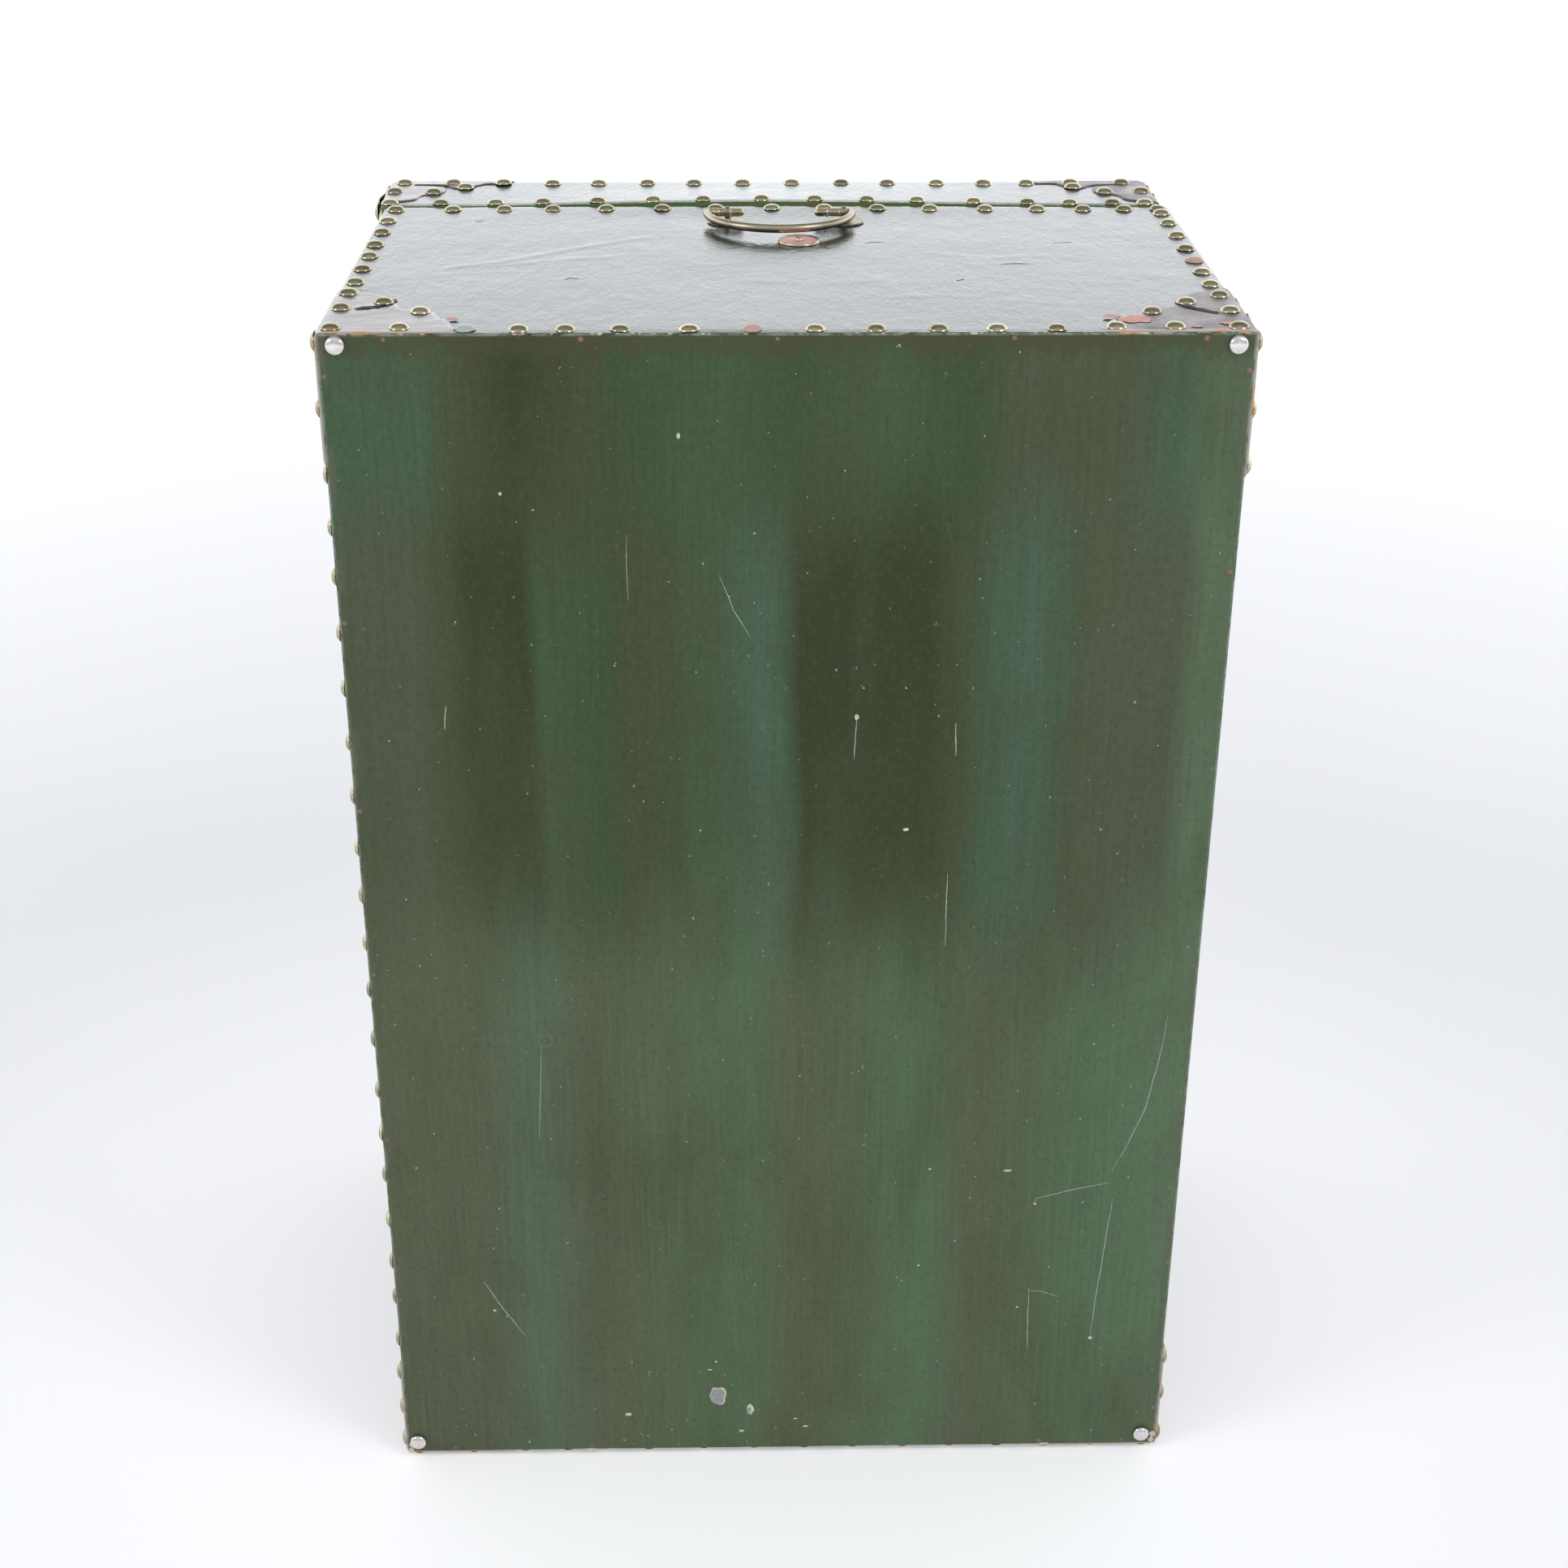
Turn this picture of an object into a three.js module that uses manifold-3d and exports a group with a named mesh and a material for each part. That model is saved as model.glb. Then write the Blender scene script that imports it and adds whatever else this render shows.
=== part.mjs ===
// Leather-covered, studded strongbox standing on its lower end.
// Its nailed-on bottom board faces -Y, its shallow lid is at +Y and opens like a door on
// two butt hinges at +X. The lock is at -X and the bail handle is on the upper end.
// Millimetres, +X to the hinge side, +Y from the bottom board to the lid, +Z up.
// The origin is on the standing surface, under the middle of the whole object.
import * as THREE from "three";
import { mergeVertices } from "three/addons/utils/BufferGeometryUtils.js";
import Module from "manifold-3d";

const wasm = await Module();
wasm.setup();

// ---- driving dimensions ---------------------------------------------------------------
const GAP = 0.3; // clearance between pieces that touch
const CASE_WIDTH = 600; // over the leather, X
const CASE_HEIGHT = 915; // over the leather, Z
const CASE_DEPTH = 350; // bottom board's face to the case's rim, Y
const SEAM = 3; // open joint between the case's rim and the lid's rim
const LID_DEPTH = 85; // lid's rim to its outer face, Y
const LID_SHIFT = -5; // the lid sits this far towards the lock side
const LEATHER = 1.5; // thickness of the hide
const CASE_BOARD = 16; // thickness of the case's side and end boards
const BOTTOM_BOARD = 14; // thickness of the nailed-on bottom board
const LID_BOARD = 10; // thickness of the lid's boards

const PATCH = 1.2; // thickness of a corner patch
const PATCH_REACH = 98; // a patch's arm along an edge
const CASE_PATCH_REACH = 108; // a case patch's arm across the case's depth
const LID_PATCH_REACH = 80; // a lid patch's arm across the lid's depth
const STUD_RADIUS = 7;
const STUD_HEIGHT = 3.4; // above what the stud is driven into
const STUD_INSET = 7.5; // stud centre to the outer edge
const GLIDE_RADIUS = 6.5;
const GLIDE_HEIGHT = 4.5;
const GLIDE_INSET = 10;

const LIP_THICKNESS = 4.5; // strips let into the boards inside the rim
const LIP_LENGTH = 38;
const LIP_PROUD = 8; // how far they stand out of the rim, into the lid

const HINGE_LEAF_LENGTH = 76; // along the hinge axis
const HINGE_LEAF = 1.2; // thickness of a leaf
const HINGE_LEAF_WIDTH = 16; // the part of a leaf between the two rims
const KNUCKLE_RADIUS = 4;
const KNUCKLE_COUNT = 5;
const HINGE_PIN_RADIUS = 1.9;
const HINGE_AXIS_OUT = 4.5; // hinge axis beyond the case's side
const HINGE_FROM_END = 190; // hinge middle to the case's end

const BAIL_WIDTH = 114; // over the bar
const BAIL_REACH = 51; // pivot axis to the middle of the bar
const BAIL_BAR_RADIUS = 2.9;
const BAIL_END = 36.5; // the bail's middle to the end of its bar
const BAIL_BEND = 50.3; // the bail's middle to where the straight end begins to bend
const BAIL_SLIP = -4.75; // the bail has slid this far along its eyes
const PIVOT_HEIGHT = 7.2; // pivot axis above the leather
const PIVOT_Y = 298; // from the bottom board's face
const HANDLE_X = 4.75; // middle of the two eye posts
const POST_SPACING = 86.5;
const EYE_RADIUS = 5.2;
const EYE_HOLE_RADIUS = 3.2;
const EYE_WIDTH = 4;
const STEM_RADIUS = 2.5;
const NUT_RADIUS = 6.5;
const ROSETTE_RADIUS = 15;
const STRIKE_X = 13;
const STRIKE_Y = 237;

const LOCK_LENGTH = 96; // along Z
const LOCK_DEPTH = 78; // rim to the lock's back edge
const LOCK_THICKNESS = 15;
const LOCK_WALL = 2;
const LOCK_RECESS = 12.3; // depth of the pocket in the side board
const KEY_AXIS_Y = 305;
const KEY_SHAFT_RADIUS = 3;
const KEY_OUT = 30; // key's bow beyond the case's side
const ESCUTCHEON_RADIUS = 35;

// ---- derived places, measured from the bottom board's face and the case's middle -------
const RIGHT = CASE_WIDTH / 2; // hinge side
const LEFT = -RIGHT; // lock side
const LOW = PATCH + GAP + STUD_HEIGHT; // leather of the lower end, above the studs it stands on
const HIGH = LOW + CASE_HEIGHT;
const MIDDLE_Z = (LOW + HIGH) / 2;
const RIM = CASE_DEPTH;
const LID_RIM = CASE_DEPTH + SEAM;
const LID_FACE = LID_RIM + LID_DEPTH;
const LID_LEFT = LEFT + LID_SHIFT;
const LID_RIGHT = RIGHT + LID_SHIFT;
const SKIN = LEATHER + GAP; // leather surface to the wood under it
const HINGE_X = RIGHT + HINGE_AXIS_OUT;
const HINGE_Y = CASE_DEPTH + SEAM / 2;
const PATCH_OUT = PATCH + GAP; // patch surface above the leather

// the whole object's box, which sets the origin
const X_LOW = LEFT - KEY_OUT;
const X_HIGH = HINGE_X + KNUCKLE_RADIUS;
const Y_LOW = -GLIDE_HEIGHT;
const Y_HIGH = LID_FACE + PATCH_OUT + STUD_HEIGHT;

// ---- materials ------------------------------------------------------------------------
const finish = (color, roughness, metalness) =>
  new THREE.MeshStandardMaterial({ color, roughness, metalness });
const greenPaint = finish(0x27452f, 0.35, 0.0);
const brightGreen = finish(0x2f6b3a, 0.5, 0.0);
const rawWood = finish(0x9a7247, 0.75, 0.0);
const leather = finish(0x1d2b24, 0.3, 0.0);
const patchLeather = finish(0x4a3436, 0.4, 0.0);
const brass = finish(0x8d713c, 0.35, 1.0);
const nickel = finish(0xc9c4c4, 0.2, 1.0);
const steel = finish(0x55524d, 0.5, 1.0);

// ---- helpers --------------------------------------------------------------------------
function box(x0, x1, y0, y1, z0, z1) {
  const geometry = new THREE.BoxGeometry(x1 - x0, y1 - y0, z1 - z0);
  return geometry.translate((x0 + x1) / 2, (y0 + y1) / 2, (z0 + z1) / 2);
}

function solid(geometry) {
  const bare = geometry.clone();
  bare.deleteAttribute("normal");
  bare.deleteAttribute("uv");
  const merged = mergeVertices(bare, 1e-4);
  const vertProperties = new Float32Array(merged.attributes.position.array);
  const triVerts = new Uint32Array(merged.index.array);
  return new wasm.Manifold(new wasm.Mesh({ numProp: 3, vertProperties, triVerts }));
}

function geometryOf(manifold) {
  const mesh = manifold.getMesh();
  const geometry = new THREE.BufferGeometry();
  geometry.setAttribute("position", new THREE.BufferAttribute(mesh.vertProperties, 3));
  geometry.setIndex(new THREE.BufferAttribute(mesh.triVerts, 1));
  geometry.computeVertexNormals();
  return geometry;
}

function join(...pieces) {
  return geometryOf(pieces.map(solid).reduce((a, b) => a.add(b)));
}

function cut(piece, ...tools) {
  return geometryOf(tools.map(solid).reduce((a, b) => a.subtract(b), solid(piece)));
}

// A solid of revolution about +Z; each profile point is [radius, height].
function turned(profile, segments) {
  const points = profile.map(([r, h]) => new THREE.Vector2(r, h));
  return new THREE.LatheGeometry(points, segments).rotateX(Math.PI / 2);
}

function ring(inner, outer, low, high, segments) {
  return turned([[inner, low], [outer, low], [outer, high], [inner, high], [inner, low]], segments);
}

function rod(radius, low, high, segments) {
  return turned([[0, low], [radius, low], [radius, high], [0, high]], segments);
}

function dome(radius, height, segments) {
  const shoulder = height * 0.72;
  return turned([[0, GAP], [radius, GAP], [radius * 0.66, shoulder], [0, height]], segments);
}

// Turn a piece made about +Z so that its axis points along -Y, +Y or -X.
const facingBottom = (geometry) => geometry.rotateX(Math.PI / 2);
const facingLid = (geometry) => geometry.rotateX(-Math.PI / 2);
const facingLock = (geometry) => geometry.rotateY(-Math.PI / 2);

function add(group, name, geometry, material) {
  const mesh = new THREE.Mesh(geometry, material);
  mesh.name = name;
  group.add(mesh);
  return mesh;
}

// ---- case boards and leather ----------------------------------------------------------
function keyhole(x0, x1) {
  const round = facingLock(rod(KEY_SHAFT_RADIUS + 0.8, -x1, -x0, 12));
  const slot = box(x0, x1, -14, 0, -1.9, 1.9);
  return [round, slot].map((geometry) => geometry.translate(0, KEY_AXIS_Y, MIDDLE_Z));
}

function postPlaces() {
  return [-1, 1].map((side) => HANDLE_X + (side * POST_SPACING) / 2);
}

function postHoles(low, high) {
  return postPlaces().map((x) => rod(STEM_RADIUS + GAP, low, high, 12).translate(x, PIVOT_Y, 0));
}

function makeCase() {
  const group = new THREE.Group();
  const left = LEFT + SKIN;
  const right = RIGHT - SKIN;
  const low = LOW + SKIN;
  const high = HIGH - SKIN;
  const back = BOTTOM_BOARD + GAP;
  const inLeft = left + CASE_BOARD;
  const inRight = right - CASE_BOARD;

  const endLeft = inLeft + GAP;
  const endRight = inRight - GAP;
  const floor = low + CASE_BOARD;
  const ceiling = high - CASE_BOARD;

  // lip strips: let into the boards' inside, standing out of the rim for the lid to close over
  const lipStart = RIM + LIP_PROUD - LIP_LENGTH;
  const lipEnd = RIM + LIP_PROUD;
  const rebateStart = lipStart - GAP;
  const rebate = LIP_THICKNESS + GAP;
  const lockClear = LOCK_LENGTH / 2 + 4;

  add(group, "bottom_board", box(left, right, 0, BOTTOM_BOARD, low, high), greenPaint);

  const pocket = box(inLeft - LOCK_RECESS, inLeft + 1, RIM - LOCK_DEPTH - 1, RIM + 1,
    MIDDLE_Z - LOCK_LENGTH / 2 - 1, MIDDLE_Z + LOCK_LENGTH / 2 + 1);
  const sideRebate = box(inLeft - rebate, inLeft + 1, rebateStart, RIM + 1, floor, ceiling);
  const lockBoard = box(left, inLeft, back, RIM, low, high);
  const lockSide = cut(lockBoard, pocket, sideRebate, ...keyhole(left - 1, inLeft));
  add(group, "case_lock_side", lockSide, rawWood);
  add(group, "case_hinge_side", box(inRight, right, back, RIM, low, high), rawWood);

  const upperRebate = box(endLeft - 1, endRight + 1, rebateStart, RIM + 1, ceiling - 1, ceiling + rebate);
  const upper = box(endLeft, endRight, back, RIM, ceiling, high);
  const upperEnd = cut(upper, upperRebate, ...postHoles(ceiling - 1, high + 1));
  add(group, "case_upper_end", upperEnd, rawWood);
  const lowerRebate = box(endLeft - 1, endRight + 1, rebateStart, RIM + 1, floor - rebate, floor + 1);
  const lower = box(endLeft, endRight, back, RIM, low, floor);
  add(group, "case_lower_end", cut(lower, lowerRebate), rawWood);

  const upperLip = box(endLeft, endRight, lipStart, lipEnd, ceiling, ceiling + LIP_THICKNESS);
  const lowerLip = box(endLeft, endRight, lipStart, lipEnd, floor - LIP_THICKNESS, floor);
  const sideLip = (z0, z1) => box(inLeft - LIP_THICKNESS, inLeft, lipStart, lipEnd, z0, z1);
  add(group, "lip_upper", upperLip, brightGreen);
  add(group, "lip_lower", lowerLip, brightGreen);
  add(group, "lip_lock_upper", sideLip(MIDDLE_Z + lockClear, ceiling - GAP), brightGreen);
  add(group, "lip_lock_lower", sideLip(floor + GAP, MIDDLE_Z - lockClear), brightGreen);

  const hide = box(LEFT, RIGHT, 0, RIM, LOW, HIGH);
  const inside = box(LEFT + LEATHER, RIGHT - LEATHER, -1, RIM + 1, LOW + LEATHER, HIGH - LEATHER);
  const holes = [...postHoles(HIGH - 5, HIGH + 1), ...keyhole(LEFT - 1, LEFT + 5)];
  add(group, "case_leather", cut(hide, inside, ...holes), leather);
  return group;
}

// ---- corner patches -------------------------------------------------------------------
// A patch's outline on one face, from its corner at 0,0, as parts of its two reaches: a
// broad lobe along U and a narrow tab along V, with a notch between them.
function patchOutline(alongU, alongV) {
  const shape = new THREE.Shape();
  shape.moveTo(0, 0);
  shape.lineTo(1, 0);
  shape.quadraticCurveTo(1.02, 0.19, 0.86, 0.31);
  shape.quadraticCurveTo(0.82, 0.58, 0.6, 0.56);
  shape.quadraticCurveTo(0.4, 0.51, 0.21, 0.47);
  shape.lineTo(0.43, 0.73);
  shape.quadraticCurveTo(0.5, 0.86, 0.27, 0.93);
  shape.quadraticCurveTo(0.12, 1, 0, 1);
  const points = shape.getPoints(3).map((point) => point.multiply(new THREE.Vector2(alongU, alongV)));
  return new THREE.Shape(points);
}

// One leg of a patch lying on the XY plane, its thickness from z = 0 to z = PATCH.
function patchLeg(alongU, alongV) {
  return new THREE.ExtrudeGeometry(patchOutline(alongU, alongV), { depth: PATCH, bevelEnabled: false });
}

// A patch at a corner whose faces look along -X, -Y and -Z, with its corner at the origin.
// Legs lie on the face that looks along -Z and on the face that looks along -X; a lid
// patch has a third leg on the face that looks along -Y.
function cornerPatch(depthReach, hasFrontLeg) {
  const shift = -PATCH_OUT;
  const reach = PATCH_REACH - shift;
  const deep = depthReach - (hasFrontLeg ? shift : 0);
  const start = hasFrontLeg ? shift : 0;
  const endLeg = patchLeg(reach, deep).translate(shift, start, shift);
  const sideLeg = patchLeg(reach, deep).rotateY(-Math.PI / 2).translate(shift + PATCH, start, shift);
  const legs = [endLeg, sideLeg];
  if (hasFrontLeg) {
    legs.push(patchLeg(reach, reach).rotateX(Math.PI / 2).translate(shift, shift + PATCH, shift));
  }
  return join(...legs);
}

// Mirroring turns a mesh inside out, so each triangle's winding is reversed once per mirror.
function mirrored(geometry, sx, sy, sz) {
  const copy = geometry.clone().scale(sx, sy, sz);
  if (sx * sy * sz < 0) {
    const index = copy.index.array;
    for (let i = 0; i < index.length; i += 3) {
      [index[i], index[i + 1]] = [index[i + 1], index[i]];
    }
  }
  return copy;
}

const CORNERS = [
  { name: "upper_lock", x: 1, z: -1 },
  { name: "upper_hinge", x: -1, z: -1 },
  { name: "lower_lock", x: 1, z: 1 },
  { name: "lower_hinge", x: -1, z: 1 },
];

function makeCasePatches() {
  const group = new THREE.Group();
  const patch = cornerPatch(CASE_PATCH_REACH, false);
  for (const corner of CORNERS) {
    const placed = mirrored(patch, corner.x, 1, corner.z);
    placed.translate(corner.x > 0 ? LEFT : RIGHT, 0.5, corner.z > 0 ? LOW : HIGH);
    add(group, `patch_${corner.name}`, placed, patchLeather);
  }
  return group;
}

function makeLidPatches() {
  const group = new THREE.Group();
  const patch = cornerPatch(LID_PATCH_REACH, true);
  for (const corner of CORNERS) {
    const placed = mirrored(patch, corner.x, -1, corner.z);
    placed.translate(corner.x > 0 ? LID_LEFT : LID_RIGHT, LID_FACE, corner.z > 0 ? LOW : HIGH);
    add(group, `lid_patch_${corner.name}`, placed, patchLeather);
  }
  return group;
}

// ---- studs and glides -----------------------------------------------------------------
// The four studs of the lower end that the object stands on.
function makeFootStuds() {
  const group = new THREE.Group();
  const places = [
    ["foot_stud_front_lock", LEFT + STUD_INSET, STUD_INSET, PATCH_OUT],
    ["foot_stud_front_hinge", RIGHT - STUD_INSET, STUD_INSET, PATCH_OUT],
    ["foot_stud_seam_lock", LEFT + STUD_INSET, RIM - 2 * STUD_INSET, 0],
    ["foot_stud_seam_hinge", RIGHT - STUD_INSET, RIM - 2 * STUD_INSET, 0],
  ];
  for (const [name, x, y, above] of places) {
    const stud = dome(STUD_RADIUS, LOW - above, 12).rotateX(Math.PI);
    add(group, name, stud.translate(x, y, LOW - above), brass);
  }
  return group;
}

function makeLidStuds() {
  const group = new THREE.Group();
  for (const corner of CORNERS) {
    const stud = facingLid(dome(STUD_RADIUS, STUD_HEIGHT, 12));
    const x = corner.x > 0 ? LID_LEFT + STUD_INSET : LID_RIGHT - STUD_INSET;
    const z = corner.z > 0 ? LOW + STUD_INSET : HIGH - STUD_INSET;
    add(group, `lid_stud_${corner.name}`, stud.translate(x, LID_FACE + PATCH_OUT, z), brass);
  }
  return group;
}

function makeGlides() {
  const group = new THREE.Group();
  for (const corner of CORNERS) {
    const glide = facingBottom(dome(GLIDE_RADIUS, GLIDE_HEIGHT, 16));
    const x = corner.x > 0 ? LEFT + GLIDE_INSET : RIGHT - GLIDE_INSET;
    const z = corner.z > 0 ? LOW + GLIDE_INSET : HIGH - GLIDE_INSET;
    add(group, `glide_${corner.name}`, glide.translate(x, 0, z), nickel);
  }
  return group;
}

// ---- lid ------------------------------------------------------------------------------
function makeLid() {
  const group = new THREE.Group();
  const left = LID_LEFT + SKIN;
  const right = LID_RIGHT - SKIN;
  const low = LOW + SKIN;
  const high = HIGH - SKIN;
  const face = LID_FACE - SKIN;
  const panel = face - LID_BOARD;
  const rimEnd = panel - GAP;
  const inLeft = left + LID_BOARD;
  const inRight = right - LID_BOARD;

  add(group, "lid_panel", box(left, right, panel, face, low, high), rawWood);
  add(group, "lid_lock_side", box(left, inLeft, LID_RIM + GAP, rimEnd, low, high), rawWood);
  add(group, "lid_hinge_side", box(inRight, right, LID_RIM + GAP, rimEnd, low, high), rawWood);
  const endLeft = inLeft + GAP;
  const endRight = inRight - GAP;
  add(group, "lid_upper_end", box(endLeft, endRight, LID_RIM + GAP, rimEnd, high - LID_BOARD, high), rawWood);
  add(group, "lid_lower_end", box(endLeft, endRight, LID_RIM + GAP, rimEnd, low, low + LID_BOARD), rawWood);

  const hide = box(LID_LEFT, LID_RIGHT, LID_RIM, LID_FACE, LOW, HIGH);
  const inside = box(LID_LEFT + LEATHER, LID_RIGHT - LEATHER, LID_RIM - 1, LID_FACE - LEATHER,
    LOW + LEATHER, HIGH - LEATHER);
  add(group, "lid_leather", cut(hide, inside), leather);
  return group;
}

// ---- hinges ---------------------------------------------------------------------------
// Knuckles of one leaf: every second one, starting at the given number.
function knuckleSpans(first) {
  const length = HINGE_LEAF_LENGTH / KNUCKLE_COUNT;
  const spans = [];
  for (let i = first; i < KNUCKLE_COUNT; i += 2) {
    spans.push([i * length + GAP / 2, (i + 1) * length - GAP / 2]);
  }
  return spans;
}

// A leaf about the hinge axis at the origin, from z = 0 to the leaf's length. Its plate
// lies between y0 and y1 and reaches towards -X.
function hingeLeaf(first, y0, y1) {
  const plateEnd = -KNUCKLE_RADIUS - GAP;
  const plate = box(plateEnd - HINGE_LEAF_WIDTH, plateEnd, y0, y1, 0, HINGE_LEAF_LENGTH);
  const pieces = [plate];
  for (const [z0, z1] of knuckleSpans(first)) {
    pieces.push(box(plateEnd - 0.5, -2.5, y0, y1, z0, z1));
    pieces.push(rod(KNUCKLE_RADIUS, z0, z1, 16));
  }
  const hole = rod(HINGE_PIN_RADIUS + GAP, -1, HINGE_LEAF_LENGTH + 1, 16);
  return cut(join(...pieces), hole);
}

function makeHinge(name, middle) {
  const group = new THREE.Group();
  const half = SEAM / 2;
  const caseLeaf = hingeLeaf(0, -half + 0.1, -half + 0.1 + HINGE_LEAF);
  const lidLeaf = hingeLeaf(1, half - 0.1 - HINGE_LEAF, half - 0.1);
  add(group, `${name}_case_leaf`, caseLeaf, brass);
  add(group, `${name}_lid_leaf`, lidLeaf, brass);
  add(group, `${name}_pin`, rod(HINGE_PIN_RADIUS, -0.5, HINGE_LEAF_LENGTH + 0.5, 16), brass);
  group.position.set(HINGE_X, HINGE_Y, middle - HINGE_LEAF_LENGTH / 2);
  return group;
}

// ---- bail handle on the upper end -----------------------------------------------------
// Centre line of the bail about its pivot axis: a half ellipse with its ends bent in.
function bailPath() {
  const a = BAIL_WIDTH / 2 - BAIL_BAR_RADIUS;
  const end = [
    new THREE.Vector3(BAIL_END, 0, 0),
    new THREE.Vector3((BAIL_END + BAIL_BEND) / 2, 0, 0),
    new THREE.Vector3(BAIL_BEND, 0, 0),
    new THREE.Vector3(a - 1.1, -1.3, 0),
  ];
  const otherEnd = end.map((point) => new THREE.Vector3(-point.x, point.y, 0)).reverse();
  const first = 0.1;
  const bow = [];
  for (let i = 0; i <= 12; i += 1) {
    const t = first + ((Math.PI - 2 * first) * i) / 12;
    bow.push(new THREE.Vector3(a * Math.cos(t), -BAIL_REACH * Math.sin(t), 0));
  }
  return new THREE.CatmullRomCurve3([...end, ...bow, ...otherEnd], false, "centripetal");
}

function roundShape(radius, sides) {
  const shape = new THREE.Shape();
  for (let i = 0; i < sides; i += 1) {
    const angle = (2 * Math.PI * i) / sides;
    const move = i === 0 ? "moveTo" : "lineTo";
    shape[move](radius * Math.cos(angle), radius * Math.sin(angle));
  }
  shape.closePath();
  return shape;
}

const FINIAL_PROFILE = [
  [0, 0], [3.4, 0], [3.4, 1.8], [2.5, 2.5], [3.3, 3.8], [2.5, 5.1], [3, 6.3], [2.1, 8], [0, 10],
];

function makeBail() {
  const group = new THREE.Group();
  const bar = new THREE.ExtrudeGeometry(roundShape(BAIL_BAR_RADIUS, 8),
    { steps: 64, bevelEnabled: false, extrudePath: bailPath() });
  add(group, "bail", bar, brass);
  const end = BAIL_END - GAP;
  const finial = () => turned(FINIAL_PROFILE, 12);
  add(group, "bail_finial_hinge", finial().rotateY(-Math.PI / 2).translate(end, 0, 0), brass);
  add(group, "bail_finial_lock", finial().rotateY(Math.PI / 2).translate(-end, 0, 0), brass);
  group.position.set(HANDLE_X + BAIL_SLIP, PIVOT_Y, HIGH + PIVOT_HEIGHT);
  return group;
}

function makeHandleMounts() {
  const group = new THREE.Group();
  const inner = -SKIN - CASE_BOARD; // inside face of the end board
  const sides = ["lock", "hinge"];
  postPlaces().forEach((x, i) => {
    const eye = ring(EYE_HOLE_RADIUS, EYE_RADIUS, -EYE_WIDTH / 2, EYE_WIDTH / 2, 20);
    eye.rotateY(Math.PI / 2).translate(0, 0, PIVOT_HEIGHT);
    const stem = rod(STEM_RADIUS, inner - 5.5, PIVOT_HEIGHT - EYE_HOLE_RADIUS - 0.6, 12);
    const post = join(eye, stem).translate(x, PIVOT_Y, HIGH);
    add(group, `eye_post_${sides[i]}`, post, brass);
    const rosette = turned([[STEM_RADIUS + GAP, GAP], [ROSETTE_RADIUS, GAP], [ROSETTE_RADIUS - 1.5, 1.2],
      [STEM_RADIUS + GAP, 1.8], [STEM_RADIUS + GAP, GAP]], 24);
    add(group, `rosette_${sides[i]}`, rosette.translate(x, PIVOT_Y, HIGH), brass);
    const blank = rod(NUT_RADIUS, inner - 5, inner - GAP, 6);
    const nut = cut(blank, rod(STEM_RADIUS + GAP, inner - 6, inner, 12));
    add(group, `post_nut_${sides[i]}`, nut.translate(x, PIVOT_Y, HIGH), brass);
  });
  const strike = turned([[0, GAP], [15.3, GAP], [15.3, 1.1], [13.6, 1.7], [3, 1.1], [2.6, 3.4], [0, 3.9]], 24);
  add(group, "strike_plate", strike.translate(STRIKE_X, STRIKE_Y, HIGH), brass);
  return group;
}

// ---- lock -----------------------------------------------------------------------------
// Places across the board's thickness, from the pocket's floor towards the inside.
const LOCK_X0 = LEFT + SKIN + CASE_BOARD - LOCK_RECESS + GAP;
const LOCK_X1 = LOCK_X0 + LOCK_THICKNESS;
const LOCK_Y1 = RIM - GAP;
const BOLT_Y = RIM - 15; // middle of the bolt and of the link's eye
const LINK_X0 = LOCK_X0 + 2;
const LINK_X1 = LOCK_X1 - LOCK_WALL - 1.5;
const LINK_X = (LINK_X0 + LINK_X1) / 2;

function makeLock() {
  const group = new THREE.Group();
  const low = MIDDLE_Z - LOCK_LENGTH / 2;
  const high = MIDDLE_Z + LOCK_LENGTH / 2;
  const back = LOCK_Y1 - LOCK_DEPTH;
  const hollow = box(LOCK_X0 - 1, LOCK_X1 - LOCK_WALL, back + LOCK_WALL, LOCK_Y1 - LOCK_WALL,
    low + LOCK_WALL, high - LOCK_WALL);
  const slot = box(LINK_X0 - 1.2, LINK_X1 + 1.2, LOCK_Y1 - 5, LOCK_Y1 + 1, MIDDLE_Z - 3.5, MIDDLE_Z + 3.5);
  const shell = box(LOCK_X0, LOCK_X1, back, LOCK_Y1, low, high);
  add(group, "lock_case", cut(shell, hollow, slot), steel);

  const disc = turned([[0, GAP], [ESCUTCHEON_RADIUS, GAP], [ESCUTCHEON_RADIUS, 1.2],
    [ESCUTCHEON_RADIUS - 3, 2], [0, 2]], 32);
  const plate = facingLock(disc).translate(LEFT, KEY_AXIS_Y, MIDDLE_Z);
  add(group, "escutcheon", cut(plate, ...keyhole(LEFT - 5, LEFT + 1)), brass);
  return group;
}

// The bolt, drawn back below the link, slides up along Z through the link's eye.
function makeBolt() {
  const group = new THREE.Group();
  const top = MIDDLE_Z - 4;
  const bar = box(LINK_X - 2.1, LINK_X + 2.1, BOLT_Y - 3, BOLT_Y + 3, top - 38, top);
  add(group, "lock_bolt", bar, steel);
  return group;
}

// The link on the lid's rim: a plate between the rims, with a tongue that enters the lock.
function makeLink() {
  const group = new THREE.Group();
  const plateLow = LID_RIM - 1.5;
  const plate = box(LID_LEFT + 3, LINK_X1, plateLow, LID_RIM, MIDDLE_Z - 40, MIDDLE_Z + 40);
  const tongue = box(LINK_X0, LINK_X1, BOLT_Y - 7, plateLow + 0.5, MIDDLE_Z - 2, MIDDLE_Z + 2);
  const eye = box(LINK_X - 2.8, LINK_X + 2.8, BOLT_Y - 4, BOLT_Y + 4, MIDDLE_Z - 5, MIDDLE_Z + 5);
  add(group, "lock_link", cut(join(plate, tongue), eye), brass);
  return group;
}

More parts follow.
